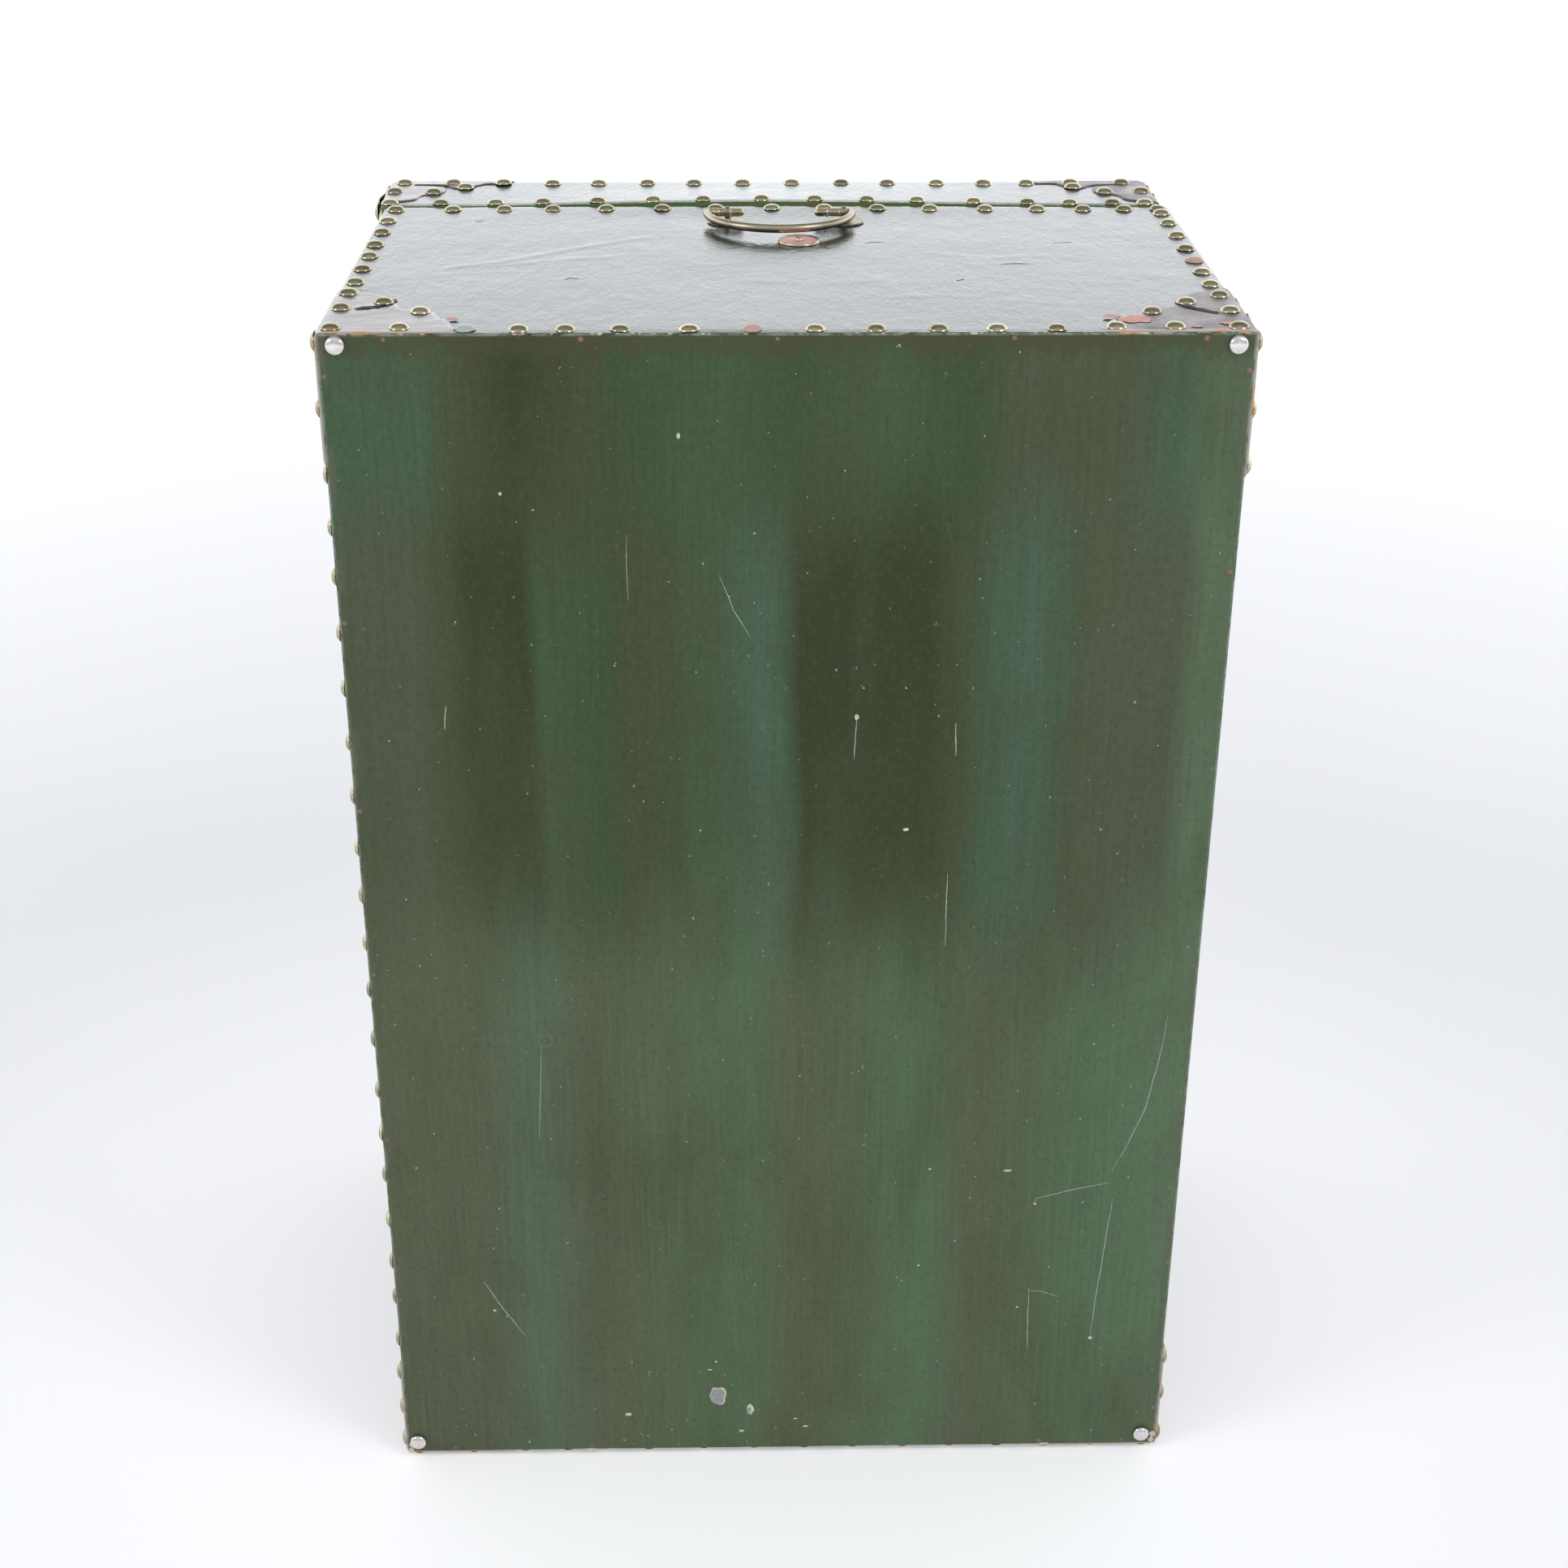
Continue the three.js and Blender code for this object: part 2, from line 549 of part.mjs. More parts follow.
// The key turns about X. Its bit points to -Y at rest, in line with the keyhole.
function makeKey() {
  const group = new THREE.Group();
  const tip = LOCK_X1 - LOCK_WALL - 1 - LEFT;
  const shaft = rod(KEY_SHAFT_RADIUS, -tip, 9, 12);
  const collar = rod(4.6, 4, 7, 12);
  const bow = ring(7, 11, -2, 2, 20).rotateY(Math.PI / 2).translate(0, 0, KEY_OUT - 11);
  const bitStart = LOCK_X0 + 1.2 - LEFT;
  const bit = box(-1.5, 1.5, -13, -1, -(tip - 1), -bitStart);
  add(group, "key", facingLock(join(shaft, collar, bow, bit)), steel);
  group.position.set(LEFT, KEY_AXIS_Y, MIDDLE_Z);
  return group;
}

// ---- assembly -------------------------------------------------------------------------
const strongbox = new THREE.Group();
strongbox.add(makeCase());
strongbox.add(makeCasePatches());
strongbox.add(makeFootStuds());
strongbox.add(makeGlides());
strongbox.add(makeLid());
strongbox.add(makeLidPatches());
strongbox.add(makeLidStuds());
strongbox.add(makeHinge("hinge_upper", HIGH - HINGE_FROM_END));
strongbox.add(makeHinge("hinge_lower", LOW + HINGE_FROM_END));
strongbox.add(makeHandleMounts());
strongbox.add(makeBail());
strongbox.add(makeLock());
strongbox.add(makeBolt());
strongbox.add(makeLink());
strongbox.add(makeKey());
strongbox.position.set(-(X_LOW + X_HIGH) / 2, -(Y_LOW + Y_HIGH) / 2, 0);

export default strongbox;
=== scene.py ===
"""The looks of a studded, leather-covered strongbox that stands on its lower end.

Lengths are in millimetres in the case's own frame: X from the case's middle (the lock is
on the -X side and the hinges on the +X side), Y from the bottom board's face towards the
lid, Z from the floor.
"""

import math
import random

import bpy
import numpy as np
from mathutils import Matrix, Vector, noise
from mathutils.geometry import delaunay_2d_cdt


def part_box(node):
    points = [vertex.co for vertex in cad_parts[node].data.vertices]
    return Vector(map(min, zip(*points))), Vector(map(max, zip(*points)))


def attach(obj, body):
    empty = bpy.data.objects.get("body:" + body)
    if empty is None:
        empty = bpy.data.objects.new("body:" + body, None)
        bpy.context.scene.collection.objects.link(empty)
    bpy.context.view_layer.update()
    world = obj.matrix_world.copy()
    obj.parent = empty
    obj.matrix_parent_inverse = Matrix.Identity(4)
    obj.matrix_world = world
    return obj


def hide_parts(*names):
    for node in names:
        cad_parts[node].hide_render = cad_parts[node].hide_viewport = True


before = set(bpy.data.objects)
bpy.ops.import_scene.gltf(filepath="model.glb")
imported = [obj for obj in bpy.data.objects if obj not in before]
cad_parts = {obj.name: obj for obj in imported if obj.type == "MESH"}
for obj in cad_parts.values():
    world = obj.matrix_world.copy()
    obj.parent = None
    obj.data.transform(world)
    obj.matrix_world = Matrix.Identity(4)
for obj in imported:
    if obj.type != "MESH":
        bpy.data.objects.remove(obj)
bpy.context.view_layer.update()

# ---- places taken from the CAD frame ---------------------------------------------------
MM = 0.001
hide_low, hide_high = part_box("case_leather")
ORIGIN = np.array([(hide_low.x + hide_high.x) / 2, hide_low.y, 0.0])


def to_mm(point):
    return (np.array(point) - ORIGIN) / MM


def to_row(points):
    return np.asarray(points, float) * MM + ORIGIN


def node_box(name):
    low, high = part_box(name)
    return to_mm(low), to_mm(high)


def node_middle(name):
    low, high = node_box(name)
    return (low + high) / 2


CASE = node_box("case_leather")
LID = node_box("lid_leather")
LEFT, _, LOW = CASE[0]
RIGHT, RIM, HIGH = CASE[1]
LID_LEFT, LID_RIM, _ = LID[0]
LID_RIGHT, LID_FACE, _ = LID[1]

PATCH = 1.5  # a patch's surface above the leather
CASE_ROUND = 3.2  # rounding of the case's leather edges
LID_ROUND = 4.5
HIDE_THICK = 1.2
STUD_HEIGHT = 3.35
STUD_INSET = 7.5


# ---- mesh helpers ----------------------------------------------------------------------
class Shape:
    """Points and faces gathered for one mesh, with one tone per point."""

    def __init__(self):
        self.points = []
        self.faces = []
        self.tones = []

    def add(self, points, faces, tone=0.5):
        start = len(self.points)
        self.points.extend(tuple(p) for p in points)
        self.faces.extend(tuple(int(i) + start for i in face) for face in faces)
        self.tones.extend([tone] * len(points))
        return self


def add_tones(mesh, tones):
    mesh.attributes.new("tone", "FLOAT", "POINT").data.foreach_set("value", tones)


def new_object(name, data):
    obj = bpy.data.objects.new(name, data)
    bpy.context.scene.collection.objects.link(obj)
    return obj


def make_piece(name, shape, material, body, replaces=(), sharp=40):
    mesh = bpy.data.meshes.new(name)
    mesh.from_pydata(to_row(shape.points).tolist(), [], shape.faces)
    mesh.polygons.foreach_set("use_smooth", [True] * len(mesh.polygons))
    add_tones(mesh, shape.tones)
    mesh.update()
    mesh.set_sharp_from_angle(angle=math.radians(sharp))
    mesh.materials.append(material)
    obj = new_object(name, mesh)
    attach(obj, body)
    if replaces:
        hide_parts(*replaces)


def basis(normal, turn=0.0):
    """Columns U, V and N of a frame whose third axis is the normal."""
    n = Vector(normal).normalized()
    side = Vector((0, 0, 1)) if abs(n.z) < 0.9 else Vector((0, 1, 0))
    u = side.cross(n).normalized()
    v = n.cross(u)
    c, s = math.cos(turn), math.sin(turn)
    u, v = u * c + v * s, v * c - u * s
    return np.array([u, v, n]).T


def placed(points, centre, normal, turn=0.0):
    """Points of a local frame, moved to its place."""
    return np.array(points) @ basis(normal, turn).T + np.array(centre)


def on_circle(radius, i, sides):
    angle = 2 * math.pi * i / sides
    return radius * math.cos(angle), radius * math.sin(angle)


def quad(low, high, i, j):
    """One face between two rows of points."""
    return low + i, low + j, high + j, high + i


def lathe(profile, sides, centre, normal, turn=0.0):
    """A closed solid of revolution about the normal. The profile's ends have radius 0."""
    points, rings, faces = [], [], []
    for radius, height in profile:
        count = 1 if radius == 0 else sides
        rings.append([len(points) + i for i in range(count)])
        points += [(*on_circle(radius, i, sides), height) for i in range(count)]
    for low, high in zip(rings, rings[1:]):
        for i in range(sides):
            j = (i + 1) % sides
            if len(low) == 1:
                faces.append((low[0], high[j], high[i]))
            elif len(high) == 1:
                faces.append((low[i], low[j], high[0]))
            else:
                faces.append((low[i], low[j], high[j], high[i]))
    if profile[-1][1] < profile[0][1]:
        faces = [face[::-1] for face in faces]
    return placed(points, centre, normal, turn), faces


def turned_ring(section, sides, centre, normal):
    """A turned body with a hole, about the normal, from a closed section."""
    count = len(section)
    points = [(*on_circle(radius, i, sides), height) for i in range(sides) for radius, height in section]
    faces = []
    for i in range(sides):
        this, other = i * count, (i + 1) % sides * count
        for k in range(count):
            m = (k + 1) % count
            faces.append((this + k, other + k, other + m, this + m))
    return placed(points, centre, normal), faces


def sweep(path, radii, sides):
    """A closed round bar along a path, with its own radius at each point."""
    path = [Vector(p) for p in path]
    last = len(path) - 1
    points, faces = [], []
    tangent = (path[1] - path[0]).normalized()
    u = Vector((0, 0, 1)) if abs(tangent.z) < 0.9 else Vector((0, 1, 0))
    for i, centre in enumerate(path):
        tangent = (path[min(i + 1, last)] - path[max(i - 1, 0)]).normalized()
        u = (u - tangent * u.dot(tangent)).normalized()
        v = tangent.cross(u)
        for k in range(sides):
            across, up = on_circle(radii[i], k, sides)
            points.append(centre + u * across + v * up)
    for i in range(last):
        for k in range(sides):
            faces.append(quad(i * sides, (i + 1) * sides, k, (k + 1) % sides))
    faces.append(tuple(reversed(range(sides))))
    faces.append(tuple(range(last * sides, (last + 1) * sides)))
    return points, faces


def catmull(points, per_span):
    """A smooth path through the points."""
    points = [np.array(p, float) for p in points]
    points = [points[0] * 2 - points[1]] + points + [points[-1] * 2 - points[-2]]
    path = []
    for p0, p1, p2, p3 in zip(points, points[1:], points[2:], points[3:]):
        for i in range(per_span):
            t = i / per_span
            path.append(0.5 * (2 * p1 + (p2 - p0) * t + (2 * p0 - 5 * p1 + 4 * p2 - p3) * t * t
                               + (3 * p1 - p0 - 3 * p2 + p3) * t ** 3))
    return path + [points[-2]]


def seed_shift(seed):
    return Vector((seed * 17.3, seed * 5.1, seed * 9.7))


def noise_at(points, scale, seed, octaves=3):
    """Smooth fractal noise, about -1 to 1, with the given size in millimetres per axis."""
    shift = seed_shift(seed)
    places = np.asarray(points, float) / np.array(scale, float)
    return np.array([noise.fractal(Vector(p) + shift, 1.0, 2.0, octaves) for p in places])


def grid_lines(low, high, step, radius_low, radius_high):
    """Places along an axis, closer together where an end is rounded."""
    inner_low = low + radius_low
    inner_high = high - radius_high
    count = max(1, round((inner_high - inner_low) / step))
    lines = list(np.linspace(inner_low, inner_high, count + 1))
    shares = (1.0, 0.75, 0.5, 0.25)
    if radius_low:
        lines = [low + radius_low * (1 - s) for s in shares] + lines
    if radius_high:
        lines = lines + [high - radius_high * (1 - s) for s in reversed(shares)]
    return lines


def round_box(points, low, high, radius, open_sides):
    """Where points of a sharp box lie on the rounded one, and the normals there."""
    beyond = 50
    inner_low = np.array(low, float) + radius
    inner_high = np.array(high, float) - radius
    for axis, side in open_sides:
        if side < 0:
            inner_low[axis] = low[axis] - beyond
        else:
            inner_high[axis] = high[axis] + beyond
    points = np.asarray(points, float)
    core = np.clip(points, inner_low, inner_high)
    away = points - core
    normals = away / np.linalg.norm(away, axis=1)[:, None]
    return core + normals * radius, normals


def box_skin(low, high, steps, radius, open_sides):
    """The welded outside of a rounded box, without its open sides: points, normals, faces."""
    lines = []
    for axis in range(3):
        ends = [0.0 if (axis, side) in open_sides else radius for side in (-1, 1)]
        lines.append(grid_lines(low[axis], high[axis], steps[axis], *ends))
    points, faces = [], []
    for axis in range(3):
        a, b = [k for k in range(3) if k != axis]
        for side, place in ((-1, low[axis]), (1, high[axis])):
            if (axis, side) in open_sides:
                continue
            start = len(points)
            na, nb = len(lines[a]), len(lines[b])
            for va in lines[a]:
                for vb in lines[b]:
                    point = [0.0, 0.0, 0.0]
                    point[axis], point[a], point[b] = place, va, vb
                    points.append(point)
            flip = (side > 0) == (axis == 1)
            for i in range(na - 1):
                row = start + i * nb
                for j in range(nb - 1):
                    face = (row + j, row + nb + j, row + nb + j + 1, row + j + 1)
                    faces.append(face[::-1] if flip else face)
    unique, index = np.unique(np.round(np.array(points), 3), axis=0, return_inverse=True)
    index = index.reshape(-1)
    faces = [tuple(index[i] for i in face) for face in faces]
    surface, normals = round_box(unique, low, high, radius, open_sides)
    return surface, normals, faces


def closed(faces, count):
    """Faces of a closed body: the outer sheet, its copy count points later, and the walls."""
    edges = {edge: None for face in faces for edge in zip(face, (*face[1:], face[0]))}
    walls = [(j, i, i + count, j + count) for i, j in edges if (j, i) not in edges]
    back = [tuple(i + count for i in reversed(face)) for face in faces]
    return [tuple(face) for face in faces] + back + walls


def polyline_distance(points, line):
    best = np.full(len(points), 1e9)
    for a, b in zip(line, line[1:]):
        a, b = np.array(a, float), np.array(b, float)
        along = np.clip(((points - a) @ (b - a)) / ((b - a) @ (b - a)), 0, 1)
        best = np.minimum(best, np.linalg.norm(points - a - along[:, None] * (b - a), axis=1))
    return best


# ---- material helpers ------------------------------------------------------------------
def as_colour(value):
    return (*value, 1.0) if isinstance(value, tuple) and len(value) == 3 else value


class Net:
    """A material's nodes, built by short calls that return output sockets."""

    def __init__(self, name):
        self.material = bpy.data.materials.new(name)
        self.material.use_nodes = True
        self.tree = self.material.node_tree
        self.shader = self.tree.nodes["Principled BSDF"]
        self.place = self.tree.nodes.new("ShaderNodeTexCoord").outputs["Object"]

    def feed(self, socket, value):
        if isinstance(value, bpy.types.NodeSocket):
            self.tree.links.new(value, socket)
        else:
            socket.default_value = value

    def node(self, kind, **inputs):
        node = self.tree.nodes.new("ShaderNode" + kind)
        for name, value in inputs.items():
            self.feed(node.inputs[name], value)
        return node

    def noise(self, stretch, detail=4.0, rough=0.6, shift=0.0):
        """Fractal noise: the stretch is its fineness, one number or one per axis."""
        stretch = stretch if isinstance(stretch, tuple) else (stretch,) * 3
        place = self.node("Mapping", Scale=stretch, Vector=self.place).outputs["Vector"]
        node = self.node("TexNoise")
        node.noise_dimensions = "4D"
        for name, value in (
            ("W", shift), ("Scale", 1.0), ("Detail", detail), ("Roughness", rough), ("Vector", place),
        ):
            self.feed(node.inputs[name], value)
        return node.outputs["Fac"]

    def axis(self, letter):
        return self.node("SeparateXYZ", Vector=self.place).outputs[letter]

    def tone(self):
        node = self.node("Attribute")
        node.attribute_name = "tone"
        return node.outputs["Fac"]

    def math(self, operation, a, b=0.0):
        node = self.node("Math")
        node.operation = operation
        self.feed(node.inputs[0], a)
        self.feed(node.inputs[1], b)
        return node.outputs[0]

    def distance(self, spot):
        """Distance across the board from a spot given by its x and height."""
        across = self.math("SUBTRACT", self.axis("X"), row_x(spot[0]))
        upright = self.math("SUBTRACT", self.axis("Z"), row_z(spot[1]))
        squares = [self.math("MULTIPLY", side, side) for side in (across, upright)]
        return self.math("SQRT", self.math("ADD", *squares))

    def spread(self, value, low, high, to_low=0.0, to_high=1.0, smooth=False):
        """The value's range from low to high, mapped to another range and clamped."""
        node = self.node("MapRange")
        node.interpolation_type = "SMOOTHSTEP" if smooth else "LINEAR"
        for socket, number in zip(node.inputs, (value, low, high, to_low, to_high)):
            self.feed(socket, number)
        return node.outputs[0]

    def mix(self, amount, a, b):
        node = self.node("Mix")
        node.data_type = "RGBA"
        for index, value in ((0, amount), (6, as_colour(a)), (7, as_colour(b))):
            self.feed(node.inputs[index], value)
        return node.outputs[2]

    def stain(self, colour, value, low, high, other, amount=1.0):
        """The other colour where the value goes from low to high."""
        return self.mix(self.spread(value, low, high, 0.0, amount), colour, other)

    def ramp(self, value, stops):
        node = self.node("ValToRGB")
        elements = node.color_ramp.elements
        for i, (place, colour) in enumerate(stops):
            element = elements[i] if i < 2 else elements.new(place)
            element.position = place
            element.color = as_colour(colour)
        self.feed(node.inputs[0], value)
        return node.outputs[0]

    def bump(self, height, distance, strength=1.0, below=None):
        node = self.node("Bump", Distance=distance, Strength=strength, Height=height)
        if below:
            self.feed(node.inputs["Normal"], below)
        return node.outputs["Normal"]

    def finish(self, colour, roughness, normal=None, metallic=0.0, **fixed):
        given = {
            "Base Color": as_colour(colour), "Roughness": roughness, "Metallic": metallic, "Normal": normal,
        }
        for name, value in given.items():
            if value is not None:
                self.feed(self.shader.inputs[name], value)
        for name, value in fixed.items():
            self.shader.inputs[name.replace("_", " ")].default_value = value
        return self.material


def row_x(x):
    return to_row((x, 0, 0))[0]


def row_y(y):
    return to_row((0, y, 0))[1]


def row_z(z):
    return z * MM


# ---- materials -------------------------------------------------------------------------
GREEN = (0.048, 0.092, 0.036)
DEEP_GREEN = (0.036, 0.072, 0.026)
BLUE_GREEN = (0.062, 0.120, 0.074)
TEAL = (0.052, 0.104, 0.052)
OLIVE = (0.050, 0.062, 0.023)
BROWN = (0.068, 0.086, 0.046)
DARK_OLIVE = (0.027, 0.038, 0.010)
MOSS = (0.046, 0.070, 0.025)
FADED_GREEN = (0.092, 0.145, 0.080)
PALE_GREEN = (0.086, 0.128, 0.064)
PALE_BROWN = (0.090, 0.108, 0.060)
SEAM_GREEN = (0.085, 0.25, 0.075)
SEAM_GRIME = (0.20, 0.19, 0.07)
RING_MARK = (-175.0, 392.0)  # middle of a ring-shaped stain
RING_RADIUS = 5.2

TOP_BANDS = (
    (0.0, TEAL), (0.10, TEAL), (0.15, OLIVE), (0.20, DARK_OLIVE), (0.27, OLIVE), (0.31, DEEP_GREEN),
    (0.42, GREEN), (0.50, DEEP_GREEN), (0.58, GREEN), (0.70, DEEP_GREEN), (0.76, BROWN), (0.86, BROWN),
    (0.92, TEAL), (0.965, FADED_GREEN), (1.0, FADED_GREEN),
)
MIDDLE_BANDS = (
    (0.0, BROWN), (0.08, BROWN), (0.12, OLIVE), (0.145, DARK_OLIVE), (0.205, DARK_OLIVE), (0.225, GREEN),
    (0.30, DEEP_GREEN), (0.325, OLIVE), (0.375, MOSS), (0.39, GREEN), (0.44, TEAL), (0.47, BLUE_GREEN),
    (0.49, TEAL), (0.515, DARK_OLIVE), (0.66, DARK_OLIVE), (0.70, OLIVE), (0.735, TEAL),
    (0.775, BLUE_GREEN), (0.815, TEAL), (0.835, BROWN), (0.94, BROWN), (0.97, FADED_GREEN),
    (1.0, FADED_GREEN),
)
LOW_BANDS = (
    (0.0, PALE_BROWN), (0.12, PALE_BROWN), (0.19, (0.086, 0.142, 0.078)), (0.26, PALE_BROWN),
    (0.36, PALE_GREEN), (0.45, (0.082, 0.140, 0.068)), (0.52, PALE_BROWN), (0.60, PALE_GREEN),
    (0.68, (0.084, 0.146, 0.076)), (0.74, PALE_BROWN), (0.81, PALE_GREEN), (0.88, (0.086, 0.150, 0.078)),
    (1.0, (0.100, 0.160, 0.088)),
)


def board_paint():
    """Green brushed paint with soft upright bands of green, blue-green and olive brown."""
    net = Net("board_paint")
    x, height = net.axis("X"), net.axis("Z")
    off_middle = net.math("ABSOLUTE", net.math("SUBTRACT", x, row_x(0)))
    wander = net.noise((7.0, 7.0, 2.6), 4.0, 0.55, 1.0)
    across = net.spread(x, row_x(LEFT), row_x(RIGHT))
    across = net.math("ADD", across, net.spread(wander, 0.3, 0.7, -0.018, 0.018))
    drift = net.math("ADD", height, net.spread(wander, 0.3, 0.7, -0.05, 0.05))
    to_top = net.spread(drift, row_z(740), row_z(840), smooth=True)
    to_low = net.spread(drift, row_z(560), row_z(400), smooth=True)
    colour = net.mix(to_top, net.ramp(across, MIDDLE_BANDS), net.ramp(across, TOP_BANDS))
    colour = net.mix(to_low, colour, net.ramp(across, LOW_BANDS))
    colour = net.stain(
        colour, net.noise((13.0, 13.0, 6.0), 4.0, 0.62, 3.0), 0.46, 0.74, (0.056, 0.062, 0.026), 0.6,
    )
    colour = net.stain(
        colour, net.noise((26.0, 26.0, 3.0), 3.0, 0.5, 7.0), 0.54, 0.75, (0.050, 0.104, 0.048), 0.32,
    )
    brush = net.noise((380.0, 380.0, 10.0), 5.0, 0.7, 5.0)
    strokes = net.spread(net.noise((5.0, 5.0, 3.0), 3.0, 0.6, 19.0), 0.35, 0.65, 0.16, 0.44)
    strokes = net.math("MULTIPLY", strokes, net.spread(brush, 0.32, 0.7))
    colour = net.mix(strokes, colour, (0.022, 0.034, 0.009))
    mottle = net.noise((260.0, 260.0, 190.0), 4.0, 0.7, 17.0)
    colour = net.stain(colour, mottle, 0.5, 0.72, (0.115, 0.125, 0.085), 0.20)
    colour = net.stain(colour, mottle, 0.5, 0.28, (0.018, 0.028, 0.010), 0.34)
    uneven = net.spread(net.noise((60.0, 60.0, 18.0), 5.0, 0.7, 2.0), 0.3, 0.7, -0.011, 0.011)
    colour = net.stain(colour, net.math("ADD", height, uneven), row_z(HIGH - 17), row_z(HIGH - 10),
                       (0.058, 0.050, 0.020), 0.55)
    ring = net.math("ABSOLUTE", net.math("SUBTRACT", net.distance(RING_MARK), row_z(RING_RADIUS)))
    colour = net.mix(net.spread(ring, row_z(0.4), row_z(1.5), 0.45, 0.0), colour, (0.12, 0.15, 0.11))
    edge = net.spread(off_middle, row_z(RIGHT - 9), row_z(RIGHT - 2), 0.0, 0.8, smooth=True)
    scuff = net.spread(net.noise((60.0, 60.0, 14.0), 4.0, 0.65, 4.0), 0.50, 0.58)
    colour = net.mix(net.math("MULTIPLY", edge, scuff), colour, (0.105, 0.105, 0.070))
    worn = net.math("MAXIMUM", net.spread(off_middle, row_z(RIGHT - 2.6), row_z(RIGHT - 1.0)),
                    net.spread(height, row_z(HIGH - 2.4), row_z(HIGH - 0.9)))
    rubbed = net.spread(net.noise(90.0, 5.0, 0.7, 12.0), 0.40, 0.56, 0.0, 0.8)
    colour = net.mix(net.math("MULTIPLY", worn, rubbed), colour, (0.26, 0.31, 0.26))
    colour = net.stain(
        colour, net.noise((300.0, 300.0, 240.0), 2.0, 0.5, 8.0), 0.725, 0.745, (0.30, 0.33, 0.29),
    )
    colour = net.stain(colour, net.noise(46.0, 5.0, 0.7, 14.0), 0.66, 0.74, (0.16, 0.19, 0.17), 0.35)
    bare = net.mix(brush, (0.40, 0.24, 0.12), (0.17, 0.095, 0.045))
    colour = net.stain(colour, net.axis("Y"), row_y(12.5), row_y(13.2), bare)
    rough = net.spread(net.noise((30.0, 30.0, 12.0), shift=6.0), 0.3, 0.7, 0.34, 0.50)
    relief = net.bump(brush, 0.0005, 0.6)
    relief = net.bump(net.noise((70.0, 70.0, 30.0), shift=9.0), 0.0014, 0.4, relief)
    return net.finish(colour, rough, relief, IOR=1.33)


def hide(name, lid=False):
    """Dark green glossy leather. The lid's cut edge at the seam is painted bright green."""
    net = Net(name)
    colour = net.mix(net.noise(9.0, shift=1.0), (0.010, 0.021, 0.015), (0.026, 0.042, 0.030))
    colour = net.stain(colour, net.noise(34.0, 5.0, 0.7, 2.0), 0.60, 0.72, (0.055, 0.040, 0.030), 0.5)
    colour = net.stain(colour, net.noise(160.0, 2.0, 0.5, 3.0), 0.70, 0.74, (0.10, 0.075, 0.06))
    if lid:
        seam = net.spread(net.axis("Y"), row_y(LID_RIM + 0.25), row_y(LID_RIM + 0.6), 1.0, 0.0)
        grime = net.spread(net.noise(60.0, shift=5.0), 0.35, 0.65)
        colour = net.mix(seam, colour, net.mix(grime, SEAM_GREEN, SEAM_GRIME))
    else:
        front = net.spread(net.axis("Y"), row_y(2.6), row_y(4.6), 1.0, 0.0)
        rubbed = net.spread(net.noise(80.0, 5.0, 0.7, 12.0), 0.36, 0.56, 0.15, 0.9)
        colour = net.mix(net.math("MULTIPLY", front, rubbed), colour, (0.20, 0.24, 0.20))
    rough = net.spread(net.noise((22.0, 30.0, 22.0), shift=4.0), 0.3, 0.7, 0.06, 0.13)
    relief = net.bump(net.noise((15.0, 9.0, 15.0), 3.0, 0.55, 6.0), 0.0010, 0.40)
    relief = net.bump(net.noise((95.0, 42.0, 95.0), shift=9.0), 0.0007, 0.72, relief)
    relief = net.bump(net.noise((300.0, 130.0, 300.0), 5.0, 0.65, 7.0), 0.00036, 0.9, relief)
    return net.finish(colour, rough, relief, IOR=1.6 if lid else 1.52)


def patch_hide():
    """Worn brown leather with remains of dark and salmon-pink paint, and painted shade on its walls and
    underside where the tone is high.
    """
    net = Net("patch_hide")
    cloud = net.noise(30.0, 5.0, 0.65, 1.0)
    colour = net.mix(cloud, (0.105, 0.058, 0.056), (0.052, 0.036, 0.036))
    colour = net.stain(colour, net.noise(48.0, shift=2.0), 0.56, 0.64, (0.016, 0.026, 0.018), 0.8)
    colour = net.stain(colour, net.noise(40.0, shift=5.0), 0.665, 0.69, (0.55, 0.22, 0.18))
    # painted shade: a high tone darkens the patch's walls and underside, standing in for the shadow under
    # its free edge
    colour = net.stain(colour, net.tone(), 0.55, 0.9, (0.045, 0.034, 0.032), 0.85)
    front = net.spread(net.axis("Y"), row_y(1.6), row_y(3.4), 1.0, 0.0)
    scuffs = net.spread(net.noise(52.0, shift=8.0), 0.54, 0.60)
    colour = net.mix(front, colour, net.mix(scuffs, (0.44, 0.38, 0.34), (0.56, 0.28, 0.13)))
    dull = net.math("MULTIPLY", net.spread(net.axis("X"), row_x(190), row_x(235), 0.0, 0.40), cloud)
    rough = net.math("ADD", net.spread(cloud, 0.3, 0.7, 0.10, 0.20), dull)
    relief = net.bump(net.noise((40.0, 70.0, 40.0), shift=4.0), 0.0011, 0.45)
    relief = net.bump(net.noise(420.0, 3.0, 0.6, 6.0), 0.0002, 0.5, relief)
    return net.finish(colour, rough, relief, IOR=1.56)


